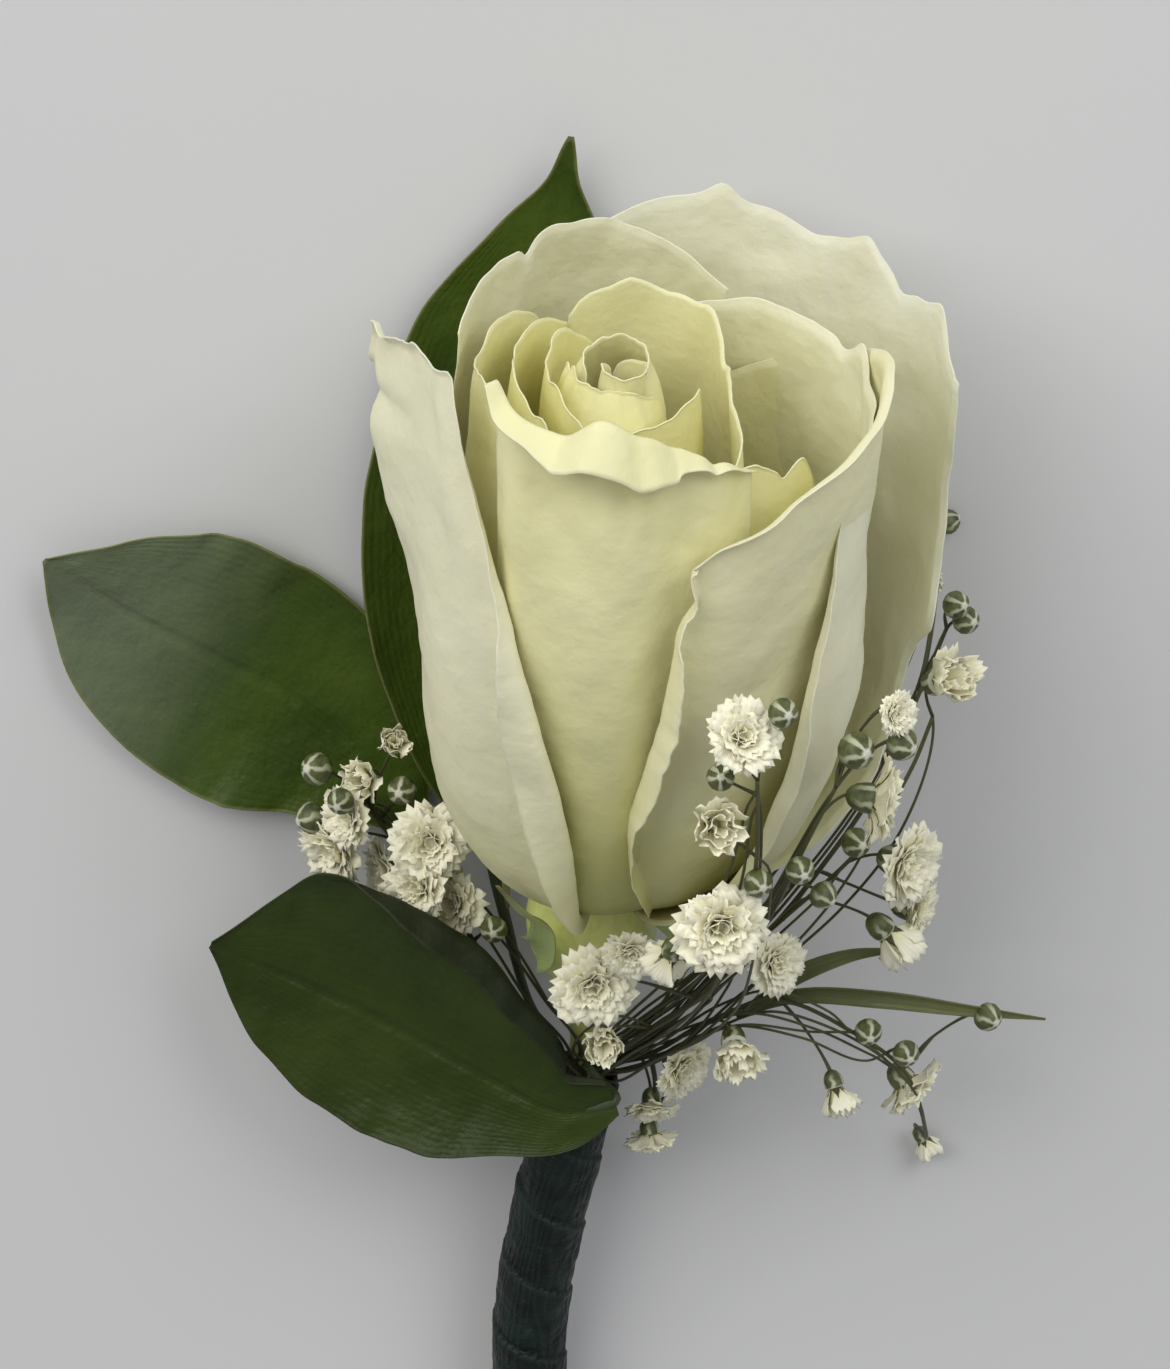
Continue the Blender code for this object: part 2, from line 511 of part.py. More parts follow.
# ---------------------------------------------------------------- leaves
def leaf_grid(leaf, along_n, across_n):
    """Blade over a curved centre line, each side bent up as it leaves that line."""
    t = np.linspace(0, 1, along_n + 1)
    spine = curve(leaf["spine"], t)
    _, side, up = frames(spine)
    turn = np.radians(along(leaf["turn"], t))[:, None]
    across = np.cos(turn) * side + np.sin(turn) * up
    lift = np.cos(turn) * up - np.sin(turn) * side
    fine = np.linspace(0, 1, 41)
    halves = {}
    for way, width, cup, fold in ((-1, "left", "cup_left", [0]), (1, "right", "cup_right", leaf["fold"])):
        bend = np.radians(along(leaf[cup], t))[:, None] * fine
        late = np.clip((fine - 0.72) / 0.28, 0, 1)
        bend = bend + np.radians(along(fold, t))[:, None] * late * late * (3 - 2 * late)
        half = along(leaf[width], t)[:, None]
        step = half / 40
        out = np.cumsum(np.cos(bend) * step, 1) - step
        rise = np.cumsum(np.sin(bend) * step, 1)
        halves[way] = (out, rise)
    cols = []
    for s in np.linspace(-1, 1, across_n + 1):
        out, rise = halves[1 if s > 0 else -1]
        k = int(round(abs(s) * 40))
        cols.append(spine + np.sign(s) * out[:, k:k + 1] * across + rise[:, k:k + 1] * lift)
    return np.stack(cols, 1)


def build_leaf(name, leaf, mat):
    grid = leaf_grid(leaf, 12, 6)
    inside = in_the_tape(leaf["seat"], WISP_CIRCLE, 1.0)
    line = stem_line(inside, leaf["stalk"] + leaf["spine"][:2], 9)
    pieces = [sheet("blade", grid, LEAF_THICK, mat), rod("stalk", line, WISP_RADIUS, 5, mat)]
    return fuse(name, pieces, trim_at_table=True)


# ---------------------------------------------------------------- baby's breath
def funnel(back, axis, side, lobes, lean, size, rng):
    """A ring of petals grown together at the root: an open star, 0.6 mm thick."""
    up = np.cross(axis, side)
    ring = []
    for j in range(lobes):
        tilt, reach = lean + rng.uniform(-9, 9), size * rng.uniform(0.92, 1.06)
        ring += [(j - 0.27, tilt, reach), (j + 0.27, tilt + rng.uniform(-6, 6), reach * 0.95),
                 (j + 0.5, lean + 5, size * 0.5)]
    start = rng.uniform(0, 6)
    top, under = [], []
    for j, tilt, reach in ring:
        a, b = 2 * math.pi * j / lobes + start, math.radians(tilt)
        outward = math.cos(a) * side + math.sin(a) * up
        p = back + reach * (math.cos(b) * axis + math.sin(b) * outward)
        normal = math.sin(b) * axis - math.cos(b) * outward
        top.append(p + 0.3 * normal)
        under.append(p - 0.3 * normal)
    n = len(ring)
    lift = 0.35 / max(math.sin(math.radians(lean)), 0.4)
    pts = top + under + [back + lift * axis, back - lift * axis]
    faces = []
    for j in range(n):
        k = (j + 1) % n
        faces += [(2 * n, j, k), (2 * n + 1, n + k, n + j), (j, n + j, k), (k, n + j, n + k)]
    return pts, faces


def ball(centre, axis, side, radius, length, sides=6):
    """A bud: a low ellipsoid along the axis."""
    up = np.cross(axis, side)
    rings = []
    for f, w in ((-0.6, 0.75), (0.1, 1.0), (0.7, 0.6)):
        for j in range(sides):
            a = 2 * math.pi * j / sides
            rings.append(centre + axis * f * length
                         + w * radius * (math.cos(a) * side + math.sin(a) * up))
    pts = rings + [centre - axis * length, centre + axis * length]
    faces = grid_faces(3, sides, wrap=True)
    n = 3 * sides
    for j in range(sides):
        k = (j + 1) % sides
        faces += [(n, k, j), (n + 1, n - sides + j, n - sides + k)]
    return pts, faces


def head_pieces(centre, axis, size, kind, rng, mat):
    side = unit(np.cross(axis, [0.3, 0.2, 1.0]))
    if kind == "bud":
        return [solid("bud", *ball(centre, axis, side, size * 0.85, size, 4), mat)]
    back = centre - axis * size * 0.35
    rings = [(5, 26, 1.15)] if kind == "bell" else [(5, 66, 1.0)]
    if kind == "open" and size > 3.4:
        rings.append((3, 24, 0.85))
    out = [solid("floret", *funnel(back, axis, side, lobes, lean, size * reach, rng), mat)
           for lobes, lean, reach in rings]
    if kind == "bell":
        out.append(solid("calyx", *ball(back, axis, side, size * 0.36, size * 0.6, 4), mat))
    return out


def build_sprig(name, sprig, rng, mat):
    inside = in_the_tape(sprig["seat"], WISP_CIRCLE, 1.0)
    pieces = []
    nodes = []
    for k, pts in enumerate(sprig["stems"]):
        n = 2 * len(pts) - 1
        line = stem_line(inside, pts, n + 1) if k == 0 else curve(pts, np.linspace(0, 1, n))
        pieces.append(rod("stem", line, WISP_RADIUS, 4, mat))
        free = line[5:] if k == 0 else line
        nodes += [free[:-1] * (1 - w) + free[1:] * w for w in (0, 0.33, 0.67)] + [free[-1:]]
    nodes = np.concatenate(nodes)
    start = inside[-1]
    for x, y, z, size, kind in sprig["heads"]:
        c = np.array([x, y, z], float)
        reach = np.linalg.norm(c - start)
        near = [q for q in nodes if np.linalg.norm(q - start) < reach - size]
        near = near or [start]
        root = min(near, key=lambda q: np.linalg.norm(c - q))
        way = unit(c - root)
        axis = unit(0.7 * way + sprig["face"] + np.array([rng.uniform(-0.25, 0.25) for _ in "xyz"]))
        foot = c - axis * size * (0.8 if kind != "bud" else 0.7)
        mid = (root + foot) / 2 - axis * 0.12 * np.linalg.norm(foot - root)
        line = curve([root, mid, foot, c - axis * size * 0.3], np.linspace(0, 1, 3))
        pieces.append(rod("pedicel", line, PEDICEL_RADIUS, 3, mat))
        pieces += head_pieces(c, axis, size, kind, rng, mat)
    for pts in sprig.get("blades", []):
        spine = curve(pts, np.linspace(0, 1, 7))
        _, side, up = frames(spine)
        half = along([0.45, 0.75, 0.6, 0.3], np.linspace(0, 1, 7))[:, None]
        grid = np.stack([spine - half * side + 0.2 * up, spine, spine + half * side + 0.2 * up], 1)
        pieces.append(sheet("narrow_leaf", grid, 0.65, mat))
    return fuse(name, pieces, trim_at_table=True)


# ---------------------------------------------------------------- tape
def build_tape(mat):
    """Wrapped handle: a tube whose outside steps up where each turn overlaps."""
    rings, sides = 25, 14
    t = np.linspace(0, 1, rings)
    mid = handle_point(t)
    _, side, up = frames(mid)
    length = np.linalg.norm(np.diff(mid, axis=0), axis=1).sum()
    ang = np.linspace(0, 2 * math.pi, sides, endpoint=False)
    turn = (t[:, None] * length / TAPE_TURN - ang[None, :] / (2 * math.pi)) % 1.0
    radius = TAPE_OUTER + TAPE_STEP * turn
    way = np.cos(ang)[None, :, None] * side[:, None] + np.sin(ang)[None, :, None] * up[:, None]
    outer = mid[:, None] + radius[..., None] * way
    inner_t = np.linspace(0, 1, 12)
    mid_in = handle_point(inner_t)
    _, side, up = frames(mid_in)
    way = np.cos(ang)[None, :, None] * side[:, None] + np.sin(ang)[None, :, None] * up[:, None]
    inner = mid_in[:, None] + TAPE_BORE * way
    pts = np.concatenate([outer.reshape(-1, 3), inner.reshape(-1, 3)])
    n = rings * sides
    faces = grid_faces(rings, sides, wrap=True, flip=True)
    faces += grid_faces(12, sides, n, wrap=True)
    last_out, last_in = n - sides, n + 11 * sides
    for j in range(sides):
        k = (j + 1) % sides
        faces += [(j, k, n + k), (j, n + k, n + j)]
        faces += [(last_out + k, last_out + j, last_in + j),
                  (last_out + k, last_in + j, last_in + k)]
    return fuse("tape_wrap", [solid("tape", pts, faces, mat)], trim_at_table=True)


# ---------------------------------------------------------------- build
for old in list(bpy.data.objects):
    bpy.data.objects.remove(old)

petal_mat = material("rose_petal", (0.86, 0.86, 0.66), 0.5)
green_mat = material("rose_green", (0.28, 0.36, 0.12), 0.45)
leaf_mat = material("broad_leaf", (0.05, 0.11, 0.02), 0.35)
sprig_mat = material("babys_breath", (0.72, 0.74, 0.62), 0.6)
tape_mat = material("floral_tape", (0.02, 0.045, 0.04), 0.6)

build_petals(petal_mat)
build_stem(green_mat)
for leaf_name, leaf_keys in LEAVES.items():
    build_leaf(leaf_name, leaf_keys, leaf_mat)
rng = random.Random(7)
for sprig_name, sprig_keys in SPRIGS.items():
    build_sprig(sprig_name, sprig_keys, rng, sprig_mat)
build_tape(tape_mat)

# the origin is the middle of the footprint, on the table
for obj in bpy.data.objects:
    obj.data.transform(Matrix.Translation([-q * MM for q in FOOTPRINT_MIDDLE]))
ends = np.array([v.co[:] for obj in bpy.data.objects for v in obj.data.vertices]) / MM
print("spans", ends.min(0).round(3), ends.max(0).round(3))
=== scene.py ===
# %% [markdown]
# # A rose boutonniere
# One half-open ivory rose, three broad leaves and four sprays of baby's breath,
# their stems bound in dark green floral tape.  It lies on its back on a table.
# The solid model of it is already packed.  This lesson keeps its places and its
# sizes, and remakes each piece finely: thin petals with rolled margins, veined
# leaves, ruffled florets and crinkled tape.

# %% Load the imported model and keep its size
import math
import random

import bpy
import numpy as np
from mathutils import Matrix, Vector


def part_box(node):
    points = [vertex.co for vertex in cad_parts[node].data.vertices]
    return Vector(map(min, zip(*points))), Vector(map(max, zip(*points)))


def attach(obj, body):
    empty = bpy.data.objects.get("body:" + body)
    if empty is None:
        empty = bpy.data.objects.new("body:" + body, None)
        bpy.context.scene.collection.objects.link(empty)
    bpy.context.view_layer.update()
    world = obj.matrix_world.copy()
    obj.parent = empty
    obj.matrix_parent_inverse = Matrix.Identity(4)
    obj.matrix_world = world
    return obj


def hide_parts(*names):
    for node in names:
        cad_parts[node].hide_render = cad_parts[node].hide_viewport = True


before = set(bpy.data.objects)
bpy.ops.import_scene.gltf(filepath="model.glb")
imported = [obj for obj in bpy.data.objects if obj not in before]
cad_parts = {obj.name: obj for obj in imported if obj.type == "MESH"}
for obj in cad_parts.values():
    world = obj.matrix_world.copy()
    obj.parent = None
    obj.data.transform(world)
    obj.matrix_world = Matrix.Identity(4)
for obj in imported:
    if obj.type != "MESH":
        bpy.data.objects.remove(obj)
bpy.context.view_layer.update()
MM = 0.001


def placed(name, data):
    piece = bpy.data.objects.new(name, data)
    bpy.context.scene.collection.objects.link(piece)
    return piece


print("nodes", sorted(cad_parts))

# %% [markdown]
# Everything below is written in millimetres from the flower's own datum, a point
# near the top of the taped handle.  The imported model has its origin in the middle
# of its footprint, so one shift takes every piece there.  The tape's box tells us
# whether the shift is right.

# %% The shift from the flower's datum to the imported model's origin
DATUM = np.array([3.618, -13.527, 0.0])


def to_metres(points):
    return (np.asarray(points, float) + DATUM) * MM


tape_low, tape_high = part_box("tape_wrap")
print("tape from", [round(c / MM, 1) for c in tape_low], "to", [round(c / MM, 1) for c in tape_high])

# %% [markdown]
# ## The view
# The camera looks down on the flower, leaning a little towards its head and
# turned a little, with a long lens, as for a small thing seen close up.

# %% Camera
VIEW_TILT = math.radians(22.0)
VIEW_ROLL = math.radians(6.0)
VIEW_DISTANCE = 0.420
LENS = 122.7
AIM = Vector(to_metres([-1.01, 41.53, 27.87]))

away = Vector((0, math.sin(VIEW_TILT), math.cos(VIEW_TILT)))
level = Vector((1, 0, 0))
upward = away.cross(level)
right = level * math.cos(VIEW_ROLL) + upward * math.sin(VIEW_ROLL)
up = upward * math.cos(VIEW_ROLL) - level * math.sin(VIEW_ROLL)
lens = bpy.data.cameras.new("view")
lens.sensor_fit = "VERTICAL"
lens.sensor_height = 36
lens.lens = LENS
lens.clip_start = 0.01
lens.clip_end = 20
camera = placed("view", lens)
turn = Matrix((right, up, away)).transposed().to_4x4()
camera.matrix_world = Matrix.Translation(AIM + away * VIEW_DISTANCE) @ turn
bpy.context.scene.camera = camera
print("camera at", [round(c, 3) for c in camera.matrix_world.translation])

# %% [markdown]
# A wide soft lamp stands above and to the left of the flower's head.  A second,
# much weaker one opens the shadows on the right, and the sky fills the rest.


# %% Lights and sky
def soft_lamp(name, place, size, watts, tint):
    data = bpy.data.lights.new(name, "AREA")
    data.shape = "DISK"
    data.size = size
    data.energy = watts
    data.color = tint
    lamp = placed(name, data)
    spot = AIM + right * place[0] + up * place[1] + away * place[2]
    facing = (AIM - spot).to_track_quat("-Z", "Y").to_matrix().to_4x4()
    lamp.matrix_world = Matrix.Translation(spot) @ facing


soft_lamp("window", (-0.66, 0.50, 0.96), 1.40, 11.9, (1.0, 0.985, 0.95))
soft_lamp("overhead", (0.55, 0.40, 0.85), 0.70, 4.6, (0.97, 0.98, 1.0))
sky = bpy.data.worlds.new("sky")
sky.use_nodes = True
sky.node_tree.nodes["Background"].inputs["Color"].default_value = (0.80, 0.81, 0.83, 1)
sky.node_tree.nodes["Background"].inputs["Strength"].default_value = 0.38
bpy.context.scene.world = sky
bpy.context.scene.view_settings.view_transform = "Standard"

# %% [markdown]
# ## Curves and grids
# A petal or a leaf is a grid of points: rows run one way over it and columns the
# other.  A few keys set its outline, and a smooth curve through them gives the
# points between, so the same short list makes a coarse solid or a fine blade.


# %% Smooth curves through a few keys
def even(count):
    """Evenly spaced places from 0 to 1."""
    return np.linspace(0, 1, count)


def spline(xs, ys, x):
    xs, ys, x = (np.asarray(q, float) for q in (xs, ys, x))
    slope = np.diff(ys) / np.diff(xs)
    m = np.concatenate([slope[:1], (slope[:-1] + slope[1:]) / 2, slope[-1:]])
    i = np.clip(np.searchsorted(xs, x, side="right") - 1, 0, len(xs) - 2)
    w = xs[i + 1] - xs[i]
    t = np.clip((x - xs[i]) / w, 0, 1)
    a = (2 * t**3 - 3 * t**2 + 1) * ys[i] + (t**3 - 2 * t**2 + t) * w * m[i]
    return a + (3 * t**2 - 2 * t**3) * ys[i + 1] + (t**3 - t**2) * w * m[i + 1]


def along(values, x, low=0.0):
    if len(values) == 1:
        return values[0] + 0 * np.asarray(x, float)
    return spline(np.linspace(low, 1, len(values)), values, x)


def walked(points):
    """How far along its line each point lies."""
    return np.concatenate([[0], np.cumsum(np.linalg.norm(np.diff(points, axis=0), axis=1))])


def curve(points, t):
    p = np.asarray(points, float)
    d = walked(p)
    return np.stack([spline(d / d[-1], p[:, k], t) for k in range(3)], -1)


def unit(v):
    return v / np.maximum(np.linalg.norm(v, axis=-1, keepdims=True), 1e-12)


def frames(points):
    d = unit(np.gradient(points, axis=0))
    side = unit(np.cross(d, [0, 0, 1.0]))
    return d, side, np.cross(side, d)


def ease(x, low, high):
    t = np.clip((np.asarray(x, float) - low) / (high - low), 0, 1)
    return t * t * (3 - 2 * t)


print("a line through three keys:", spline([0, 1, 2], [0, 1, 0], [0.5, 1.5]).round(2))

# %% [markdown]
# Nothing that grew is quite even.  `wobble` is a seeded sum of slow waves between
# about -1 and 1: it bends margins, varies widths and breaks up straight lines.


# %% Seeded unevenness
PHASES = (0, 6.28)  # where a wave may start, in radians


def wobble(x, seed, slow=1.0, waves=5):
    draw = random.Random(seed)
    x = np.asarray(x, float)
    total = np.zeros_like(x)
    for k in range(waves):
        pace = slow * (1 + k) * draw.uniform(0.8, 1.3)
        total = total + np.sin(pace * x + draw.uniform(*PHASES)) / (1 + k)
    return total / 1.6


def billow(x, y, seed, size):
    """Soft swells over a surface; x, y and size are in millimetres."""
    draw = random.Random(seed)
    total = 0.0
    for k in range(7):
        way, pace = draw.uniform(*PHASES), 2 * math.pi / size * draw.uniform(0.6, 1.4)
        across = math.cos(way) * x + math.sin(way) * y
        total = total + np.sin(pace * across + draw.uniform(*PHASES))
    return total / 2.6


print("wobble:", wobble(np.linspace(0, 3, 4), 3).round(2))

# %% [markdown]
# A `Pile` gathers the points and faces of one piece, with two things for its
# finish: where each point lies on its blade (the uv) and a `tissue` mark of four
# numbers, such as how near the margin it is.  The finishes read both.


# %% Gather a piece and make its mesh
class Pile:
    def __init__(self):
        self.points, self.faces, self.uv, self.marks, self.which = [], [], [], [], []
        self.count = 0

    def add(self, points, faces, uv, marks, which=0):
        self.points.append(np.asarray(points, float).reshape(-1, 3))
        self.faces += [tuple(self.count + i for i in f) for f in faces]
        self.which += [which] * len(faces)
        self.uv.append(np.asarray(uv, float).reshape(-1, 2))
        self.marks.append(np.broadcast_to(marks, (len(self.points[-1]), 4)))
        self.count += len(self.points[-1])

    def shade_tip(self, low, high, most=1.0):
        """Raise the tone of what was added last, from one height to another."""
        marks = self.marks[-1].copy()
        marks[:, 3] = ease(marks[:, 1], low, high) * most
        self.marks[-1] = marks

    def make(self, name, mats, node, slot):
        mesh = bpy.data.meshes.new(name)
        points = to_metres(np.concatenate(self.points))
        points[:, 2] = np.maximum(points[:, 2], 0.0)  # nothing goes into the table
        mesh.from_pydata(points.tolist(), [], self.faces)
        for mat in mats:
            mesh.materials.append(mat)
        mesh.polygons.foreach_set("material_index", self.which)
        mesh.polygons.foreach_set("use_smooth", [True] * len(self.faces))
        # a face that closes a ring would run back over the whole uv: it runs past 1
        corner = np.concatenate([np.asarray(f) for f in self.faces])
        where = np.concatenate(self.uv)[corner]
        starts = np.cumsum([0] + [len(f) for f in self.faces[:-1]])
        far = np.maximum.reduceat(where[:, 0], starts) - np.minimum.reduceat(where[:, 0], starts)
        seam = np.repeat(far > 0.5, [len(f) for f in self.faces]) & (where[:, 0] < 0.5)
        where[seam, 0] += 1
        mesh.uv_layers.new(name="blade").uv.foreach_set("vector", where.ravel())
        tissue = mesh.attributes.new("tissue", "FLOAT_COLOR", "POINT")
        tissue.data.foreach_set("color", np.concatenate(self.marks).astype(np.float32).ravel())
        mesh.update()
        piece = placed(name, mesh)
        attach(piece, "root")
        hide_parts(node)
        print(name, len(mesh.vertices), "points", sum(len(f) - 2 for f in self.faces), "triangles")


def grid_faces(rows, cols, start=0, wrap=False, flip=False):
    i = np.arange(rows - 1)[:, None]
    j = np.arange(cols if wrap else cols - 1)[None, :]
    k = (j + 1) % cols
    q = [start + i * cols + j, start + i * cols + k,
         start + (i + 1) * cols + k, start + (i + 1) * cols + j]
    if flip:
        q = q[::-1]
    return np.stack(q, -1).reshape(-1, 4).tolist()


# %% [markdown]
# A blade is its grid taken half a thickness to each side, with a narrow band
# round the margin.  The band closes it, and lets light catch the edge.  The marks
# say how far each point is from the margin, how far up the blade, and which face.


# %% A thin blade, closed round its margin
EDGE_THIN = 0.4  # the margin's thickness as a share of the blade's
THICK_FROM, MARK_TO = 3.0, 6.0  # from the margin: full thickness, end of the rim mark


def add_blade(pile, grid, thick, which=0, tone=0.0):
    du, dv = np.gradient(grid, axis=0), np.gradient(grid, axis=1)
    normal = unit(np.cross(du, dv))
    rows, cols = grid.shape[:2]
    step_v = np.linalg.norm(np.diff(grid, axis=1), axis=2)
    from_left = np.concatenate([np.zeros((rows, 1)), np.cumsum(step_v, 1)], 1)
    from_right = from_left[:, -1:] - from_left
    step_u = np.linalg.norm(np.diff(grid, axis=0), axis=2)
    from_foot = np.concatenate([np.zeros((1, cols)), np.cumsum(step_u, 0)], 0)
    from_tip = from_foot[-1:] - from_foot
    rim = np.minimum(np.minimum(from_left, from_right), from_tip)
    u = even(cols)[None, :] + np.zeros((rows, 1))
    v = even(rows)[:, None] + np.zeros((1, cols))
    half = (thick / 2 * (EDGE_THIN + (1 - EDGE_THIN) * ease(rim, 0, THICK_FROM)))[..., None]
    marks = np.stack([np.clip(rim / MARK_TO, 0, 1), v, 0 * v, 0 * v + tone], -1)
    under = marks.copy()
    under[..., 2] = 1
    n = rows * cols
    faces = grid_faces(rows, cols, flip=True) + grid_faces(rows, cols, n)
    ring = list(range(cols)) + [i * cols + cols - 1 for i in range(1, rows)]
    ring += [(rows - 1) * cols + j for j in range(cols - 2, -1, -1)]
    ring += [i * cols for i in range(rows - 2, 0, -1)]
    for a, b in zip(ring, ring[1:] + ring[:1]):
        faces.append((a, b, n + b, n + a))
    pile.add(np.stack([grid + normal * half, grid - normal * half]), faces,
             np.stack([np.stack([u, v], -1)] * 2), np.stack([marks, under]).reshape(-1, 4), which)


# %% Round bodies: from rings, along a line, and turned about an axis
def around(sides):
    return np.linspace(0, 2 * math.pi, sides, endpoint=False)[:, None]


def add_rings(pile, rings, ends, which=0, tip=1.0, flip=False):
    """Join rings of points into a tube and close it with a fan at each end."""
    rows, sides = rings.shape[:2]
    n = rows * sides
    faces = grid_faces(rows, sides, wrap=True, flip=flip)
    for j in range(sides):
        a, b = (j, (j + 1) % sides) if flip else ((j + 1) % sides, j)
        faces += [(n, a, b), (n + 1, n - sides + b, n - sides + a)]
    v = even(rows)[:, None] + np.zeros((1, sides))
    u = around(sides).T / (2 * math.pi) + 0 * v
    uv = np.concatenate([np.stack([u, v], -1).reshape(-1, 2), [[0.5, 0], [0.5, 1]]])
    marks = np.zeros((n + 2, 4))
    marks[:n, 1] = v.ravel()
    marks[n + 1, 1] = tip
    pile.add(np.concatenate([rings.reshape(-1, 3), ends]), faces, uv, marks, which)


def add_stem(pile, points, radii, sides, which=0):
    _, side, lift = frames(points)
    ang = around(sides)
    r = np.broadcast_to(radii, (len(points),))[:, None, None]
    rings = points[:, None] + r * (np.cos(ang) * side[:, None] + np.sin(ang) * lift[:, None])
    add_rings(pile, rings, points[[0, -1]], which, tip=0.0, flip=True)


def add_turned(pile, foot, axes, profile, sides, which=0):
    """Turn a profile of (height, radius) about the last of three axes."""
    side, lift, axis = axes
    ang = around(sides)
    rings = [foot + axis * h + r * (np.cos(ang) * side + np.sin(ang) * lift) for h, r in profile]
    ends = [foot + axis * profile[k][0] for k in (0, -1)]
    add_rings(pile, np.array(rings), ends, which)


def strap(spine, side, out, widths, seat=0.0):
    """A narrow blade's grid, hollow along its middle; seat 1 sinks it by that much."""
    half = along(widths, even(len(spine)))[:, None, None]
    s = np.linspace(-1, 1, 9)[None, :, None]
    return spine[:, None] + s * half * side[:, None] + 0.45 * (s**2 - seat) * half * out[:, None]


STRAP_THICK = 0.3
print("helpers ready")

# %% [markdown]
# ## Finishes
# Each finish is a small graph of nodes.  These helpers keep a graph short: `put`
# adds a node and sets its values, and `join` runs a wire.  Effects that several
# finishes share are node groups, and they give out only masks and heights.


# %% Node helpers
def put(tree, kind, **values):
    node = tree.nodes.new("ShaderNode" + kind)
    for key, value in values.items():
        if hasattr(node, key):
            setattr(node, key, value)
        else:
            node.inputs[key.replace("_", " ")].default_value = value
    return node


def join(tree, source, target):
    """Give a socket a number, a colour or another node's output."""
    if isinstance(source, (int, float)):
        target.default_value = source
    elif isinstance(source, tuple):
        target.default_value = (*source, 1)
    else:
        tree.links.new(source, target)


def maths(tree, what, *values, clamp=False):
    node = put(tree, "Math", operation=what, use_clamp=clamp)
    for value, socket in zip(values, node.inputs):
        join(tree, value, socket)
    return node.outputs[0]


def times(tree, a, b):
    return maths(tree, "MULTIPLY", a, b)


def blend(tree, factor, a, b):
    node = put(tree, "Mix", data_type="RGBA")
    for value, socket in ((factor, "Factor"), (a, "A"), (b, "B")):
        join(tree, value, node.inputs[socket])
    return node.outputs["Result"]


def span(tree, value, low, high, to_low=0.0, to_high=1.0):
    node = put(tree, "MapRange", interpolation_type="SMOOTHSTEP",
               From_Min=low, From_Max=high, To_Min=to_low, To_Max=to_high)
    join(tree, value, node.inputs["Value"])
    return node.outputs["Result"]


def tissue_marks(tree):
    """Distance from the margin, height up the blade, which face, and tone."""
    mark = put(tree, "Attribute", attribute_name="tissue")
    parts = put(tree, "SeparateColor")
    join(tree, mark.outputs["Color"], parts.inputs[0])
    return dict(zip(("rim", "height", "face", "tone"), (*parts.outputs, mark.outputs["Alpha"])))


def new_finish(name, rough, **values):
    mat = bpy.data.materials.new(name)
    mat.use_nodes = True
    shader = mat.node_tree.nodes["Principled BSDF"]
    for key, value in dict(values, Roughness=rough).items():
        shader.inputs[key.replace("_", " ")].default_value = value
    return mat, mat.node_tree, shader.inputs


def new_group(name, given, gives):
    group = bpy.data.node_groups.new(name, "ShaderNodeTree")
    for key, value in given.items():
        socket = group.interface.new_socket(name=key, in_out="INPUT", socket_type="NodeSocketFloat")
        socket.default_value = value
    for key in gives:
        group.interface.new_socket(name=key, in_out="OUTPUT", socket_type="NodeSocketFloat")
    nodes = group.nodes
    return group, nodes.new("NodeGroupInput").outputs, nodes.new("NodeGroupOutput").inputs


def use_group(tree, group, *values):
    node = put(tree, "Group", node_tree=group)
    for value, socket in zip(values, node.inputs):
        socket.default_value = value
    return node.outputs


# %% [markdown]
# Veins are thin lines that run up a blade side by side.  The group bends the lines
# with a little noise, so that they don't look ruled, and gives out a height for
# the bump and a mask for the colour.


# %% Node group: veins
def make_veins():
    defaults = {"Count": 20.0, "Waver": 0.15, "Narrow": 3.0}
    group, given, result = new_group("veins", defaults, ("Height", "Mask"))
    where = put(group, "UVMap", uv_map="blade")
    parts = put(group, "SeparateXYZ")
    join(group, where.outputs[0], parts.inputs[0])
    stretch = put(group, "CombineXYZ")
    for k, scale in enumerate((5.0, 2.5)):
        join(group, times(group, parts.outputs[k], scale), stretch.inputs[k])
    bend = put(group, "TexNoise", Scale=1.0)
    join(group, stretch.outputs[0], bend.inputs["Vector"])
    wander = times(group, maths(group, "SUBTRACT", bend.outputs[0], 0.5), given["Waver"])
    place = times(group, maths(group, "ADD", parts.outputs[0], wander), given["Count"])
    wave = maths(group, "COSINE", times(group, place, 2 * math.pi))
    height = maths(group, "MULTIPLY_ADD", wave, 0.5, 0.5)
    join(group, height, result["Height"])
    join(group, maths(group, "POWER", height, given["Narrow"]), result["Mask"])
    return group


VEINS = make_veins()


def veins(tree, count, waver, narrow):
    gives = use_group(tree, VEINS, count, waver, narrow)
    return gives["Height"], gives["Mask"]


# %% [markdown]
# Mottling is the soft, cloudy unevenness of anything that grew.  It is measured in
# the flower's own space, in millimetres, so it has one scale on every piece.


# %% Node group: mottling
def make_mottle():
    defaults = {"Size mm": 5.0, "Low": 0.35, "High": 0.65}
    group, given, result = new_group("mottle", defaults, ("Mask",))
    cloud = put(group, "TexNoise", Detail=4.0)
    join(group, put(group, "TexCoord").outputs["Object"], cloud.inputs["Vector"])
    join(group, maths(group, "DIVIDE", 1 / MM, given["Size mm"]), cloud.inputs["Scale"])
    reach = put(group, "MapRange")
    join(group, cloud.outputs[0], reach.inputs["Value"])
    join(group, given["Low"], reach.inputs["From Min"])
    join(group, given["High"], reach.inputs["From Max"])
    join(group, reach.outputs[0], result["Mask"])
    return group


MOTTLE = make_mottle()


def mottle(tree, size, low=0.35, high=0.65):
    return use_group(tree, MOTTLE, size, low, high)["Mask"]


def bump(tree, shader, strength, *heights):
    """Bumps one after another; each is a height and its depth in millimetres."""
    last = None
    for value, depth in heights:
        node = put(tree, "Bump", Strength=strength, Distance=MM * depth)
        join(tree, value, node.inputs["Height"])
        if last is not None:
            join(tree, last, node.inputs["Normal"])
        last = node.outputs[0]
    join(tree, last, shader["Normal"])


print("node groups", [g.name for g in bpy.data.node_groups])

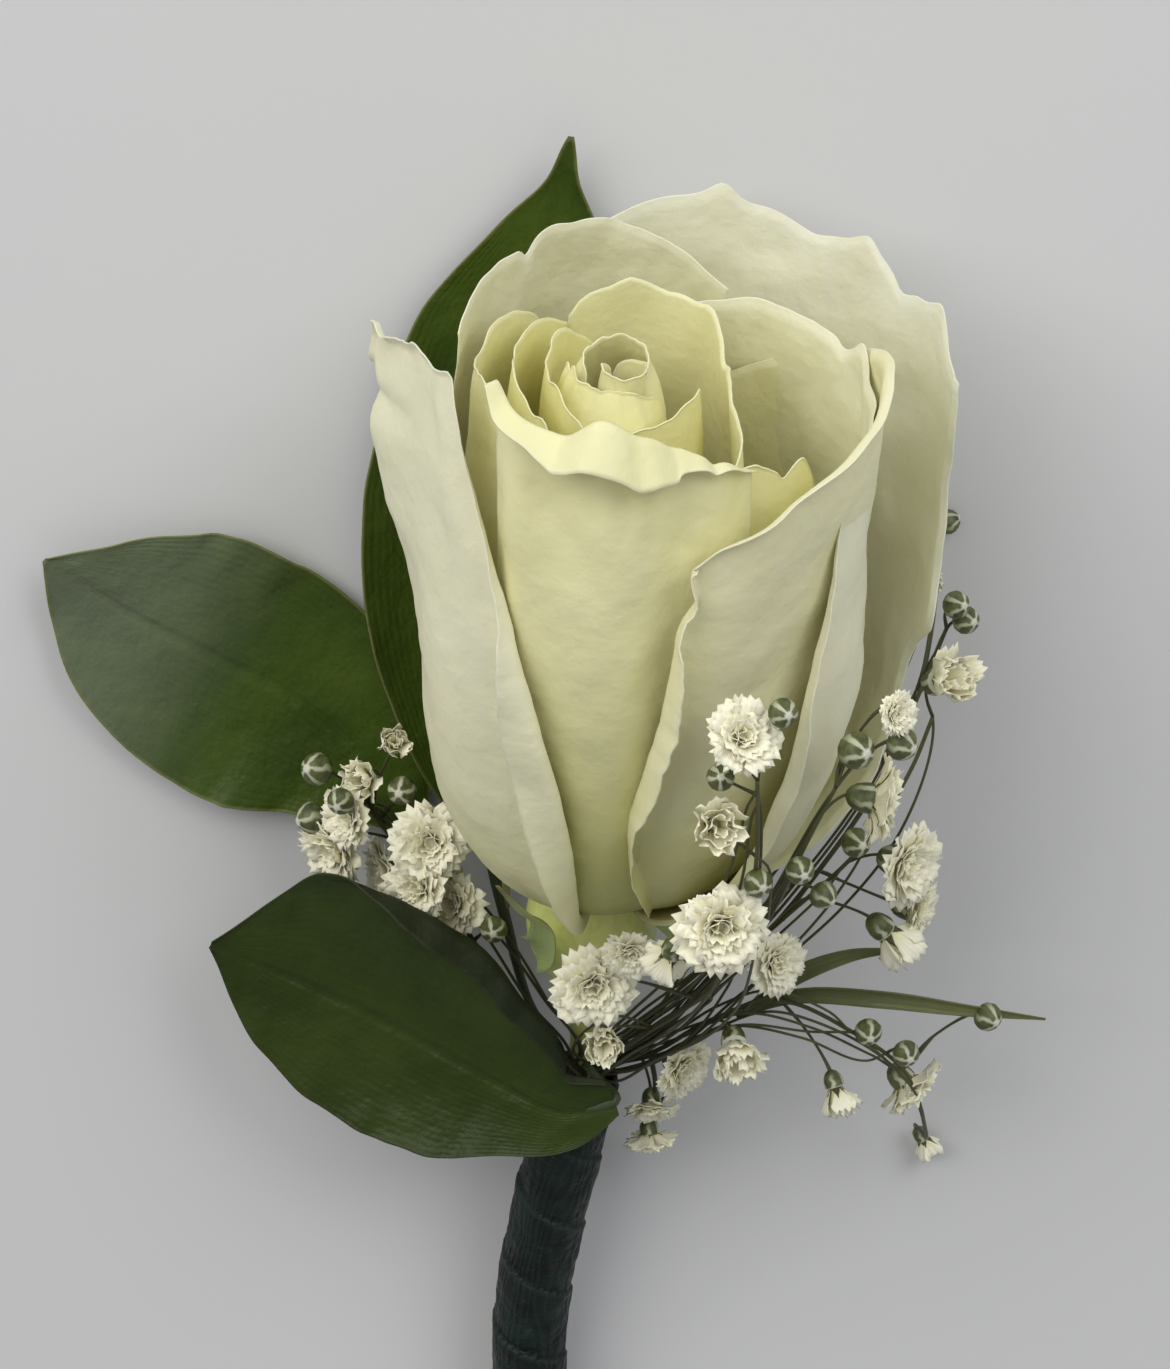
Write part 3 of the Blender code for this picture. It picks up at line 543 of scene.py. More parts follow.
# %% [markdown]
# ## Rose petals
# An ivory petal is creamy white at its margin.  Low down, and more on the inner
# petals, it turns yellow: partly the rose's own colour, partly painted glow of light
# that comes through the petals.  At its foot it darkens to olive: partly the green
# base, partly painted shade deep among the others.  The tissue is thin, so some light
# spreads inside it: subsurface gives that.  Faint veins run up it.


# %% Petal finish
def make_petal_finish(name, pale, yellow, deep):
    mat, tree, shader = new_finish(
        name, 0.5, Subsurface_Weight=0.2, Subsurface_Radius=(1.0, 0.95, 0.8), Subsurface_Scale=0.8 * MM,
        Specular_IOR_Level=0.3)
    tissue = tissue_marks(tree)
    # yellower low on each petal and by its tone: partly the rose's own colour, partly painted glow of light
    # through the petals
    low = span(tree, tissue["height"], 0.0, 0.45, 0.35, 0.0)
    yellowing_and_glow = maths(tree, "ADD", tissue["tone"], low, clamp=True)
    yellowing_and_glow = maths(tree, "MULTIPLY_ADD", mottle(tree, 8.0, 0.25, 0.75), 0.12, yellowing_and_glow, clamp=True)
    colour = blend(tree, yellowing_and_glow, pale, yellow)
    _, thin = veins(tree, 34.0, 0.14, 2.5)
    colour = blend(tree, times(tree, thin, 0.05), colour, yellow)
    colour = blend(tree, span(tree, tissue["rim"], 0.0, 0.08, 0.25, 0.0), colour, pale)
    # painted shade: by its tone, the petal's foot goes to the dark olive deep colour, partly the real green
    # base
    foot = span(tree, tissue["height"], 0.05, 0.6, 2.4, 0.0)
    foot = maths(tree, "MULTIPLY", foot, tissue["tone"], clamp=True)
    join(tree, blend(tree, foot, colour, deep), shader["Base Color"])
    bump(tree, shader, 0.6, (mottle(tree, 1.8, 0.2, 0.8), 0.16))
    return mat


# yellow is partly painted glow, and deep is partly painted shade at the petals' feet
PETAL = make_petal_finish(
    "ivory_petal", pale=(0.81, 0.803, 0.645), yellow=(0.845, 0.795, 0.31), deep=(0.46, 0.46, 0.165))
print("finish", PETAL.name)

# %% [markdown]
# Each petal stands round the flower's axis.  Its two side margins are given as
# angles at four heights.  Its distance from the axis at the belly, the neck and
# the rim, and its top line, are given at five places across.  A margin may roll
# outwards: the lip along the top, and a roll down each side, by length and angle.
#
# Other keys give what makes a petal look grown.  `notes` lift or notch the top
# line, as (place across, width, lift).  `bites` move a side margin, as (height,
# reach, degrees).  `swells` press the surface out or in, as (across, height,
# width, reach, millimetres).  `corner` rounds off the upper corners, `ruffle` and
# `frill` make the top line and the rim uneven, `crest` bends the lip sooner, and
# `dome` closes the rim over the heart.  `tone` says how yellow the petal is and how
# dark its foot: partly its own colour, partly painted glow and painted shade, most
# on the inner petals.

# %% The outer petals' keys
BLOOM_BASE = (2.0, 19.0, 17.0)
BLOOM_TILT = 15.0
OUTER = {
    "outer_right": dict(
        left=[175, 190, 200, 204], right=[70, 92, 98, 106], frill=0.2,
        belly=[21.8, 25, 24.6, 25.5, 26], neck=[22.8, 24.6, 25, 26.5, 27.5],
        rim=[22.9, 24.8, 26, 27, 27.5], height=[53, 57, 57, 56, 52.5],
        lip=([1, 1.4, 1.2, 1.4, 1], [10, 15, 20, 15, 10]),
        right_roll=([0.3, 1.2, 1.2, 1.2, 1], [15, 25, 20, 25, 20]),
        notes=[(-0.28, 0.07, 1.5), (0.09, 0.1, -1), (0.36, 0.07, 1.5), (0.56, 0.06, -1.2), (0.8, 0.08, 2.2)],
        right_bites=[(0.62, 0.05, -5), (0.5, 0.08, 4), (0.82, 0.08, 3)],
        swells=[(0.1, 0.75, 0.3, 0.3, 0.8), (0.7, 0.85, 0.2, 0.2, 0.9), (0.45, 0.5, 0.12, 0.4, -0.7)]),
    "back_left": dict(
        tone=0.15, left=[-125, -112, -105, -108], right=[-200, -195, -195, -200],
        belly=[18, 20, 21, 21, 20], neck=[18, 20, 21, 20.5, 19],
        rim=[18, 19.5, 20.5, 19.5, 17.5], height=[53, 56, 57, 56.5, 53.5],
        lip=([0.8, 1, 1, 1, 0.8], [10, 15, 20, 15, 10]),
        notes=[(-0.27, 0.05, -1.2), (-0.08, 0.12, 0.5), (0.2, 0.15, 0.6)],
        swells=[(-0.3, 0.85, 0.15, 0.3, -0.6), (0.3, 0.8, 0.3, 0.3, 0.6)]),
    "right": dict(
        tone=0.15, left=[165, 175, 178, 178], right=[25, 38, 47, 60],
        belly=[16, 18, 20, 21.6, 22.6], neck=[15, 16.6, 18.1, 20.1, 21.6],
        rim=[14, 16.1, 17.3, 19.1, 20], height=[52, 54, 54.5, 54, 50],
        lip=([1, 1.4, 1.4, 1.4, 1], [10, 20, 30, 20, 10]),
        right_roll=([0.3, 1, 2.2, 1.6, 1], [30, 50, 90, 60, 30]),
        notes=[(0.26, 0.08, 1.8), (0.12, 0.06, -0.4)],
        swells=[(0.28, 0.85, 0.08, 0.25, 0.5), (0.75, 0.7, 0.2, 0.3, 0.5)]),
    "front_right": dict(
        tone=0.35, left=[40, 11, 13, 14], right=[110, 125, 150, 156],
        belly=[18.5, 20.4, 19.8, 19.4, 16], neck=[20.5, 20.8, 19.8, 19, 15.5],
        rim=[20.7, 21, 19.7, 18.3, 14.5], height=[49, 56, 58, 52.5, 46],
        lip=([1, 1.4, 1.5, 1.4, 0.8], [60, 60, 60, 30, 15]),
        left_roll=([0.3, 2, 4.2, 4.4, 1.2], [40, 80, 115, 110, 70]),
        notes=[(-0.9, 0.08, 0.7), (0.1, 0.2, 0.6)], left_bites=[(0.95, 0.04, 3)],
        swells=[(-0.5, 0.55, 0.25, 0.35, -0.9), (-0.85, 0.6, 0.12, 0.35, 0.6), (0, 0.85, 0.25, 0.2, 0.7)]),
    "front": dict(
        tone=0.5, crest=0.3, left=[-35, -32, -38, -44], right=[40, 38, 36, 34],
        belly=[18, 19.4, 20, 19, 17], neck=[18.6, 19.9, 20.3, 19.5, 17],
        rim=[18.5, 18.5, 18, 17.5, 16.5], height=[60.5, 59.3, 60.3, 58.5, 55.5],
        lip=([1.5, 3.6, 5.6, 1.9, 0.8], [90, 130, 150, 120, 70]),
        notes=[(-0.18, 0.13, 1.8), (-1, 0.1, 1.4), (0.3, 0.08, -0.4), (0.62, 0.05, -0.4)],
        swells=[(0.35, 0.65, 0.28, 0.35, -1.5), (-0.75, 0.8, 0.16, 0.3, 0.9), (-0.15, 0.6, 0.25, 0.4, 0.6),
                (0.1, 0.9, 0.06, 0.05, 0.3), (0.4, 0.86, 0.08, 0.04, -0.3)]),
    "left": dict(
        tone=0.15, left=[-110, -135, -118, -100], right=[-8, -10, -30, -62],
        belly=[17, 18.5, 18.8, 20, 20.9], neck=[24.6, 23.6, 20.8, 19.9, 20.1],
        rim=[24.6, 22, 20.4, 19.6, 19.2], height=[53.5, 55, 56.5, 57.5, 58.5],
        lip=([0.8, 1.6, 1.4, 0.8, 0.8], [40, 50, 40, 30, 30]),
        left_roll=([0.2, 0.2, 0.2, 0.6, 1.2, 0.8], [10, 10, 20, 40, 50, 40]),
        right_roll=([0.3, 3.8, 4.6, 1.6, 0.5], [30, 120, 165, 80, 30]),
        notes=[(-1, 0.12, 1.2), (0.1, 0.2, 0.6)],
        left_bites=[(0.92, 0.03, 4), (0.82, 0.06, -5), (0.7, 0.05, 4)],
        swells=[(-0.2, 0.6, 0.3, 0.3, -0.5), (0.4, 0.35, 0.3, 0.25, 0.7), (0.75, 0.85, 0.2, 0.2, 0.5),
                (-0.4, 0.82, 0.35, 0.05, 1.1), (-0.4, 0.9, 0.35, 0.03, -0.7)]),
}

# %% The inner petals' keys
HEART = (-3.2, 1.2)
INNER = {
    "cup": dict(
        tone=0.5, left=[50, 50, 45, 32], right=[210, 212, 214, 215], corner=2.6,
        belly=[13, 12, 13, 14, 14], neck=[13.8, 8.4, 9.6, 13.2, 13.5],
        rim=[13.4, 7, 7.4, 12.4, 13.6], height=[53, 54.5, 54, 55.6, 55.6],
        lip=([0.3, 0.5, 0.6, 0.5, 0.3], [30, 40, 50, 40, 30]),
        notes=[(0.35, 0.08, 0.9), (0.6, 0.05, -0.6), (0.75, 0.06, 0.7), (-0.3, 0.12, 0.4)],
        swells=[(-0.3, 0.85, 0.2, 0.2, 0.5), (0.5, 0.7, 0.2, 0.3, -0.5)]),
    "inner_left_1": dict(
        tone=0.6, left=[-150, -148, -146, -142], right=[-40, -42, -46, -48],
        belly=[15.5, 15.5, 15.5, 16, 16], rim=[16.5, 15.8, 15.2, 15.4, 16.2],
        height=[52, 54.2, 54.5, 56, 57.5], notes=[(0.6, 0.15, 0.8), (-0.2, 0.2, -0.6)]),
    "inner_left_2": dict(
        tone=0.7, left=[-160, -158, -156, -152], right=[-30, -32, -34, -36],
        belly=[12.5, 12.5, 12.5, 13, 14], rim=[14, 13, 12.2, 12.6, 14],
        height=[52, 54.2, 55, 56, 57], notes=[(0.3, 0.2, 0.7), (0.8, 0.1, -0.7)]),
    "inner_left_3": dict(
        tone=0.75, left=[-170, -168, -166, -162], right=[-22, -22, -24, -24],
        belly=[9.5, 9.5, 9.5, 10, 11], rim=[11.5, 10, 9.2, 9.8, 12],
        height=[50, 54.6, 55, 56, 56.5], notes=[(0, 0.2, 0.6)]),
    "inner_front": dict(
        tone=0.65, left=[20, 24, 28, 28], right=[62, 64, 66, 66], corner=2.5, ruffle=0.1, frill=0.3,
        belly=[17, 17, 17, 17, 17.4], rim=[15, 15.2, 15.6, 16, 16.4],
        height=[54.2, 54.2, 53.6, 53.2, 50], notes=[(-0.45, 0.25, 0.6), (0.1, 0.12, -0.9), (0.5, 0.3, 0.7)]),
    "inner_right": dict(
        tone=0.75, left=[-40], right=[110, 110, 105, 100], centre=(-2.4, 0.6),
        belly=[8.4, 8.4, 8.4, 8.4, 8], rim=[7, 6.8, 6.6, 6.6, 7.2],
        height=[51.5, 52.6, 54.2, 55.2, 52], notes=[(0.6, 0.14, 0.8), (0.85, 0.1, -0.5)]),
    "heart_1": dict(
        tone=0.65, left=[-104, -104, -104, -108], right=[84, 84, 84, 90], centre=HEART, dome=True,
        belly=[5.8, 6, 6, 6, 5.8], neck=[5.8, 5.7, 5.6, 5.7, 5.6], rim=[4.6, 3.2, 2.3, 3, 4.2],
        height=[54.6, 55.2, 55.2, 54.8, 54], notes=[(-0.92, 0.08, 1.5), (-0.72, 0.06, 1)]),
    "heart_2": dict(
        tone=0.6, left=[70], right=[286], centre=HEART, dome=True,
        belly=[5.2], neck=[4.8, 5.3, 5.5, 5.3, 4.8], rim=[2.4, 3.2, 3.7, 3.2, 2.4],
        height=[55, 56.6, 57.2, 56.6, 55]),
    "heart_bud": dict(
        tone=0.6, left=[-150], right=[185], centre=HEART, ruffle=0.1,
        belly=[3.6], neck=[1.7, 2.2, 2.8, 3.2, 3.5], rim=[0.6, 1.2, 2, 2.7, 3.2],
        height=[56, 56.4, 56.4, 56, 55]),
}
print("petals", len(OUTER) + len(INNER))


# %% Where the flower's own directions point
def bloom_axes():
    t = math.radians(BLOOM_TILT)
    return (np.array([1.0, 0, 0]), np.array([0, -math.sin(t), math.cos(t)]),
            np.array([0, math.cos(t), math.sin(t)]))


def from_bloom(g):
    across, front, axis = bloom_axes()
    return np.array(BLOOM_BASE) + g[..., :1] * across + g[..., 1:2] * front + g[..., 2:3] * axis


print("the bloom's axis is", bloom_axes()[2].round(3))


# %% One petal's grid
PETAL_FOOT = (3.6, 1.1)  # the radius and height where every petal starts
SIDE_KEYS = [0, 0.35, 0.7, 1]  # heights of the side margins' keys
PROFILE = [0, 0.08, 0.22, 0.5, 0.8, 1]  # places up the petal where its profile is set
RISE = [0, 0.02, 0.16, 0.47, 0.8, 1]  # how much of its height it has reached there
BULGE = (0, 0.36, 0.76, 1)  # how much of the belly's radius, at the first four
LONG_SWELL, SHORT_SWELL = (9.0, 0.10), (3.2, 0.035)  # size and depth, millimetres
PLAIN_LIP = ([0.2, 0.5, 0.3, 0.5, 0.2], [20, 30, 20, 30, 20])


def curl(g, length, angle, rows, bend):
    """Carry the last column on: it bends outwards, then runs on straight."""
    t = unit(g[:, -1] - g[:, -3])
    out = unit(np.cross(np.gradient(g[:, -1], axis=0), t))
    radial = g[:, -1] * [1, 1, 0]
    out = out * np.sign(np.sum(out * radial, axis=1).mean())
    ang = np.radians(np.maximum(angle, 3.0))[:, None]
    step = np.maximum(length, 0.15)[:, None] / rows
    new, last = [g], g[:, -1]
    for k in range(rows):
        q = ang * ease((k + 0.5) / rows, -0.1, bend)
        last = last + step * (np.cos(q) * t + np.sin(q) * out)
        new.append(last[:, None])
    return np.concatenate(new, 1)


def nudged(values, x, nudges):
    """Add a soft rise at each place, as (place, reach, amount)."""
    for place, reach, amount in nudges:
        values = values + amount * np.exp(-((x - place) / reach) ** 2)
    return values


def margin(p, side, v):
    keys = p[side] if len(p[side]) > 1 else p[side] * len(SIDE_KEYS)
    return nudged(spline(SIDE_KEYS, keys, v), v, p.get(side + "_bites", []))


def petal_grid(p, across, rise_rows, roll_rows, seed):
    u = np.linspace(-1, 1, across + 1)[:, None]
    v = even(rise_rows + 1)[None, :]
    left, right = margin(p, "left", v), margin(p, "right", v)
    az = np.radians(left + (right - left) * (u + 1) / 2)
    foot, base = PETAL_FOOT
    top = nudged(along(p["height"], u, -1), u, p.get("notes", []))
    top = top + p.get("ruffle", 0.14) * wobble(u * 7, seed + 1)
    top = top - p.get("corner", 0.0) * np.exp(-(1 - np.abs(u)) / 0.05)
    h = base + (top - base) * spline(PROFILE, RISE, v)
    belly, rim = along(p["belly"], u, -1), along(p["rim"], u, -1)
    neck = along(p["neck"], u, -1) if "neck" in p else (belly + rim) / 2
    rows = [foot + (belly - foot) * k for k in BULGE] + [neck, rim]
    r = np.array([spline(PROFILE, [q[i, 0] for q in rows], v[0]) for i in range(across + 1)])
    if p.get("dome"):
        close = np.clip((v - PROFILE[-2]) / (1 - PROFILE[-2]), 0, 1)
        r = np.where(v > PROFILE[-2], neck + (rim - neck) * close**2.6, r)
    for across_at, up_at, wide, tall, press in p.get("swells", []):
        r = r + press * np.exp(-((u - across_at) / wide) ** 2 - ((v - up_at) / tall) ** 2)
    r = r + p.get("frill", 0.15) * wobble(az * 4, seed + 2) * ease(v, 0.65, 1.0)
    swell = [depth * billow(az * belly.mean(), h, seed + k, size)
             for k, (size, depth) in ((3, LONG_SWELL), (4, SHORT_SWELL))]
    r = r + sum(swell) * ease(v, 0.05, 0.3)
    cx, cy = p.get("centre", (0, 0))
    g = np.stack([cx * v**0.5 + r * np.sin(az), cy * v**0.5 + r * np.cos(az), h + 0 * az], -1)
    for side, way in (("left_roll", -1), ("right_roll", 1)):
        if side in p:
            q = g[::way].transpose(1, 0, 2)
            q = curl(q, *(along(k, v[0]) for k in p[side]), roll_rows, 0.45)
            g = q.transpose(1, 0, 2)[::way]
    w = even(g.shape[0])
    return curl(g, *(along(k, w) for k in p.get("lip", PLAIN_LIP)), roll_rows, p.get("crest", 0.7))


# %% Make the petals
PETAL_THICK = 0.34
OUTER_SIZE, INNER_SIZE = (88, 64, 12), (48, 44, 6)  # points across, up and round each roll
INNER_LOOK = dict(corner=1.5, ruffle=0.28)
for seed, (petal, keys) in enumerate({**OUTER, **INNER}.items()):
    if petal in INNER:
        keys = {**INNER_LOOK, **keys}
    grid = petal_grid(keys, *(INNER_SIZE if petal in INNER else OUTER_SIZE), 31 * seed)
    pile = Pile()
    add_blade(pile, from_bloom(grid).transpose(1, 0, 2), PETAL_THICK, tone=keys.get("tone", 0.0))
    pile.make("petal_" + petal, [PETAL], "rose_petals", "rose_petal")

# %% [markdown]
# ## Hip, sepals and the rose's own stem
# Under the petals sits the hip, a smooth swollen cup, waxy and pale green with faint
# streaks.  Five narrow sepals leave its rim: one curls up over the petals, and the
# rest have turned down.  The stem runs from it into the tape.


# %% Waxy green finish
def make_waxy_green(name, pale, dark, rough):
    mat, tree, shader = new_finish(name, rough, Coat_Weight=0.15, Coat_Roughness=0.3)
    tissue = tissue_marks(tree)
    lines, thin = veins(tree, 22.0, 0.25, 3.0)
    colour = blend(tree, span(tree, tissue["height"], 0.1, 0.9), dark, pale)
    colour = blend(tree, times(tree, thin, 0.30), colour, dark)
    colour = blend(tree, times(tree, mottle(tree, 3.0), 0.25), colour, dark)
    colour = blend(tree, tissue["tone"], colour, (0.16, 0.09, 0.03))
    join(tree, colour, shader["Base Color"])
    bump(tree, shader, 0.6, (lines, 0.04), (mottle(tree, 0.9), 0.06))
    return mat


HIP_GREEN = make_waxy_green("hip_green", (0.74, 0.76, 0.25), (0.52, 0.60, 0.16), 0.36)
SEPAL_GREEN = make_waxy_green("sepal_green", (0.50, 0.56, 0.22), (0.28, 0.37, 0.11), 0.5)
print("finishes", HIP_GREEN.name, SEPAL_GREEN.name)

# %% Handle line, shared by all that runs in the tape
HANDLE = [(0.3, -57.0, 3.6), (0.7, -45.0, 5.0), (0.2, -36.0, 6.2),
          (0.5, -27.0, 7.4), (1.6, -16.0, 9.1), (2.6, -6.0, 10.6)]
WISP_CIRCLE, STEM_DROP = 2.2, 1.1  # how far off the middle the stems run
IN_TAPE = 16  # points of a stem's line that are in the tape


def handle_point(t, angle=0.0, off=0.0):
    p = curve(HANDLE, t)
    _, side, lift = frames(p)
    a = math.radians(angle)
    return p + off * (math.cos(a) * side + math.sin(a) * lift)


def in_the_tape(angle, off, start):
    inside = handle_point(np.array([0, 0.2, 0.4, 0.6, 0.8, 0.93, 1]), angle, off)
    first = inside[0] + start * unit(inside[0] - inside[1])
    last = inside[-1] + 1.6 * unit(inside[-1] - inside[-2])
    return np.concatenate([[first], inside, [last]])


def stem_line(inside, points, n):
    path = np.concatenate([inside, np.asarray(points, float)])
    d = walked(path)
    split = d[len(inside) - 1] / d[-1]
    return curve(path, np.concatenate([np.linspace(0, split, IN_TAPE)[:-1], np.linspace(split, 1, n)]))


print("handle", round(float(walked(handle_point(even(50)))[-1]), 1), "mm long")

# %% Make hip, sepals and stem
HIP_LENGTH, HIP_RADIUS, STEM_RADIUS = 14.5, 6.3, 1.6
HIP = [(-HIP_LENGTH, 1.5), (-HIP_LENGTH + 1.2, 3.1), (-10.6, 5.2), (-6.6, HIP_RADIUS), (-3, 5.9), (-0.3, 5.4)]
# a sepal's spine, as (degrees round the axis, distance from it, height)
SEPALS = [[(-58, 5, -9), (-52, 7, -8), (-30, 9.4, -4.4), (-24, 11.4, 0.5), (-25, 15.4, 5), (-29, 18.4, 9.5)]]
for az in (60, 125, 182, 232):
    SEPALS.append([(az, 4.6, -1.4), (az + 2, 7.6, -1.8), (az + 4, 9.6, -4.4), (az + 5, 10.2, -7.6),
                   (az + 6, 9.6, -10.4)])
SEPAL_WIDTHS = [1.6, 1.9, 1.3, 0.7, 0.25]

pile = Pile()
across, front, axis = bloom_axes()
hip_foot = np.array(BLOOM_BASE)
heights, radii = np.transpose(HIP)
profile = [(h, float(spline(heights, radii, h))) for h in np.linspace(heights[0], heights[-1], 34)]
add_turned(pile, hip_foot, (front, across, axis), profile, 40)
for keys in SEPALS:
    az, off, height = np.transpose(keys).astype(float)
    a = np.radians(az)
    spine = curve(np.stack([off * np.sin(a), off * np.cos(a), height], -1), even(34))
    out = unit(spine * [1, 1, 0])
    sideways = unit(np.cross(np.gradient(spine, axis=0), out))
    add_blade(pile, from_bloom(strap(spine, sideways, out, SEPAL_WIDTHS, seat=1.0)), STRAP_THICK, 1)
    pile.shade_tip(0.75, 1.0, 0.8)
top = hip_foot - axis * (HIP_LENGTH - 2)
line = stem_line(in_the_tape(-90, STEM_DROP, 1.5), [top - axis * 3, top, hip_foot - axis * 4], 12)
add_stem(pile, line, STEM_RADIUS, 20)
pile.make("rose_hip_and_stem", [HIP_GREEN, SEPAL_GREEN], "rose_stem", "rose_green")

# %% [markdown]
# ## Leaves
# Three tough, pointed leaves.  Their veins run side by side from stalk to tip, each
# a slight ridge, with a groove for the midrib.  The upper face is dark and has a
# dull shine, the reverse is greyer, and the margins go thin and brownish.  The left
# leaf goes grey-green towards its tip, partly dust and partly painted sheen, and
# the front leaf has a darker copy of the finish, which is painted shade.


# %% Leaf finish
def make_leaf_finish(name, dark, light, reverse, margin, dust_and_sheen):
    mat, tree, shader = new_finish(name, 0.42, Specular_IOR_Level=0.22)
    tissue = tissue_marks(tree)
    lines, thin = veins(tree, 30.0, 0.02, 3.0)
    colour = blend(tree, mottle(tree, 9.0, 0.3, 0.7), dark, light)
    colour = blend(tree, times(tree, thin, 0.22), colour, light)
    colour = blend(tree, tissue["face"], colour, reverse)
    # painted sheen: where tone is raised the colour goes grey-green, partly dust on the leaf, partly a
    # painted reflection of the light
    colour = blend(tree, times(tree, tissue["tone"], dust_and_sheen), colour, (0.30, 0.33, 0.26))
    edge = span(tree, tissue["rim"], 0.0, 0.07, 1.0, 0.0)
    join(tree, blend(tree, times(tree, edge, 0.7), colour, margin), shader["Base Color"])
    rough = maths(tree, "MULTIPLY_ADD", mottle(tree, 2.0), 0.12, 0.34)
    join(tree, maths(tree, "ADD", rough, times(tree, tissue["face"], 0.2)), shader["Roughness"])
    bump(tree, shader, 0.7, (lines, 0.022), (mottle(tree, 0.7), 0.03), (mottle(tree, 4.0), 0.25))
    return mat


LEAF = make_leaf_finish("leaf_green", (0.028, 0.055, 0.004), (0.062, 0.102, 0.010),
                        (0.06, 0.085, 0.03), (0.20, 0.21, 0.07), 0.35)
# painted shade: a darker copy of the leaf finish, its margin dark too, for the front leaf
LEAF_SHADE = make_leaf_finish("leaf_green_painted_shade", (0.018, 0.033, 0.003), (0.036, 0.058, 0.007),
                              (0.020, 0.028, 0.011), (0.035, 0.045, 0.015), 0.3)
STALK = make_waxy_green("stalk_green", (0.035, 0.055, 0.012), (0.020, 0.034, 0.008), 0.5)
print("finishes", LEAF.name, LEAF_SHADE.name, STALK.name)

# %% [markdown]
# A leaf's keys run from its stalk to its tip: the spine, the width of each half
# and how far each half cups up, in degrees.  `turn` rolls the whole leaf, `fold`
# turns the right margin over, `slim` draws the tip out, `ridge` is the height of
# its ribs, and `seat` says where round the handle its stalk runs.

# %% The leaves' keys
LEAVES = {
    "leaf_left": dict(
        spine=[(-15, 14, 2.4), (-21, 20.5, 1.1), (-28, 25.5, 0.5), (-36, 29, 0.4),
               (-44, 32.5, 1), (-49.5, 36, 2.4), (-53.3, 38.8, 4)],
        stalk=[(-4, -1, 10), (-9, 4.5, 7.4), (-12.5, 9.5, 4.6)], seat=153,
        left=[0.6, 7.5, 12, 13.2, 12, 7.6, 0.3], right=[0.6, 6, 10.8, 13, 13, 9.4, 0.3],
        cup_left=[10, 20, 22, 20, 20, 16, 10], cup_right=[4, 6, 10, 14, 18, 16, 10]),
    "leaf_back": dict(
        spine=[(-8.5, 13.5, 4.6), (-10.5, 22, 2.8), (-12, 34, 0.9), (-12.3, 46, 0.3),
               (-11.5, 58, 0.6), (-9.8, 69, 1.4), (-8.2, 78, 2.6), (-7.5, 85.5, 4.6)],
        stalk=[(-3, 0, 9.2), (-6, 7, 7)], seat=185,
        left=[0.6, 6.6, 10.6, 12, 11.6, 10, 5, 0.3], right=[0.6, 5, 8, 9, 9.4, 9, 5.4, 0.3],
        cup_left=[20, 40, 46, 40, 34, 26, 20, 10], cup_right=[8, 8, 6, 6, 8, 10, 10, 6], slim=0.42),
    "leaf_front": dict(
        spine=[(6.0, -5.0, 18), (1.5, -6.8, 18), (-6, -5, 16.2), (-14, -2.2, 14.2),
               (-22, 0.2, 12.4), (-29, 2, 11), (-34.3, 3.6, 10.6)],
        stalk=[(3.0, -3.4, 14.2), (4.6, -4.2, 15.8)], seat=90, ridge=0.002,
        left=[1.4, 5.2, 9.5, 11.5, 11, 7.5, 0.3], right=[3.2, 9, 15.2, 18.6, 18.2, 13, 0.3],
        turn=[0, 3, 8, 10, 9, 6, 3], cup_left=[20, 30, 30, 26, 22, 16, 10],
        cup_right=[20, 26, 26, 24, 20, 16, 10], fold=[140, 140, 132, 112, 60, 10, 0]),
}


# %% One leaf's grid
STEPS = 200  # steps along each half, as its curve is walked
FOLD_FROM, FOLD_OVER = 0.78, 0.12  # where across the half the margin turns over
RIBS, RIB_HEIGHT = 15, 0.012
GROOVE_DEPTH, GROOVE_WIDTH = 0.22, 0.6


def leaf_grid(leaf, along_n, across_n, seed):
    t = even(along_n + 1)
    spine = curve(leaf["spine"], t)
    _, side, lift_way = frames(spine)
    turn = np.radians(along(leaf.get("turn", [0]), t))[:, None]
    across = np.cos(turn) * side + np.sin(turn) * lift_way
    lift = np.cos(turn) * lift_way - np.sin(turn) * side
    fine = even(STEPS + 1)
    late = np.clip((fine - FOLD_FROM) / FOLD_OVER, 0, 1)
    slim = 1 - leaf.get("slim", 0.0) * np.exp(-((t - 0.95) / 0.05) ** 2)
    halves = {}
    for way, name, fold in ((-1, "left", [0]), (1, "right", leaf.get("fold", [0]))):
        bend = np.radians(along(leaf["cup_" + name], t))[:, None] * fine
        bend = bend + np.radians(along(fold, t))[:, None] * late * late * (3 - 2 * late)
        half = np.maximum(along(leaf[name], t), 0.15) * (1 + 0.012 * wobble(t * 13, seed + way)) * slim
        step = half[:, None] / STEPS
        out = np.cumsum(np.cos(bend) * step, 1) - step
        rise = np.cumsum(np.sin(bend) * step, 1)
        rise = rise + 0.35 * (fine**2)[None, :] * wobble(t * 14, seed + 5 + way)[:, None]
        halves[way] = (out, rise, along(leaf[name], t) * slim)
    cols = []
    for s in np.linspace(-1, 1, across_n + 1):
        out, rise, width = halves[1 if s > 0 else -1]
        k = int(round(abs(s) * STEPS))
        x = abs(s) * width
        groove = -GROOVE_DEPTH * np.exp(-(x / GROOVE_WIDTH) ** 2) * (1 - ease(t, 0.8, 1.0))
        ridge = math.cos(2 * math.pi * RIBS * abs(s) ** 0.9) * ease(x, 0.5, 1.5)
        ridge = leaf.get("ridge", RIB_HEIGHT) * ridge
        cols.append(spine + np.sign(s) * out[:, k:k + 1] * across
                    + (rise[:, k] + groove + ridge)[:, None] * lift)
    return np.stack(cols, 1)


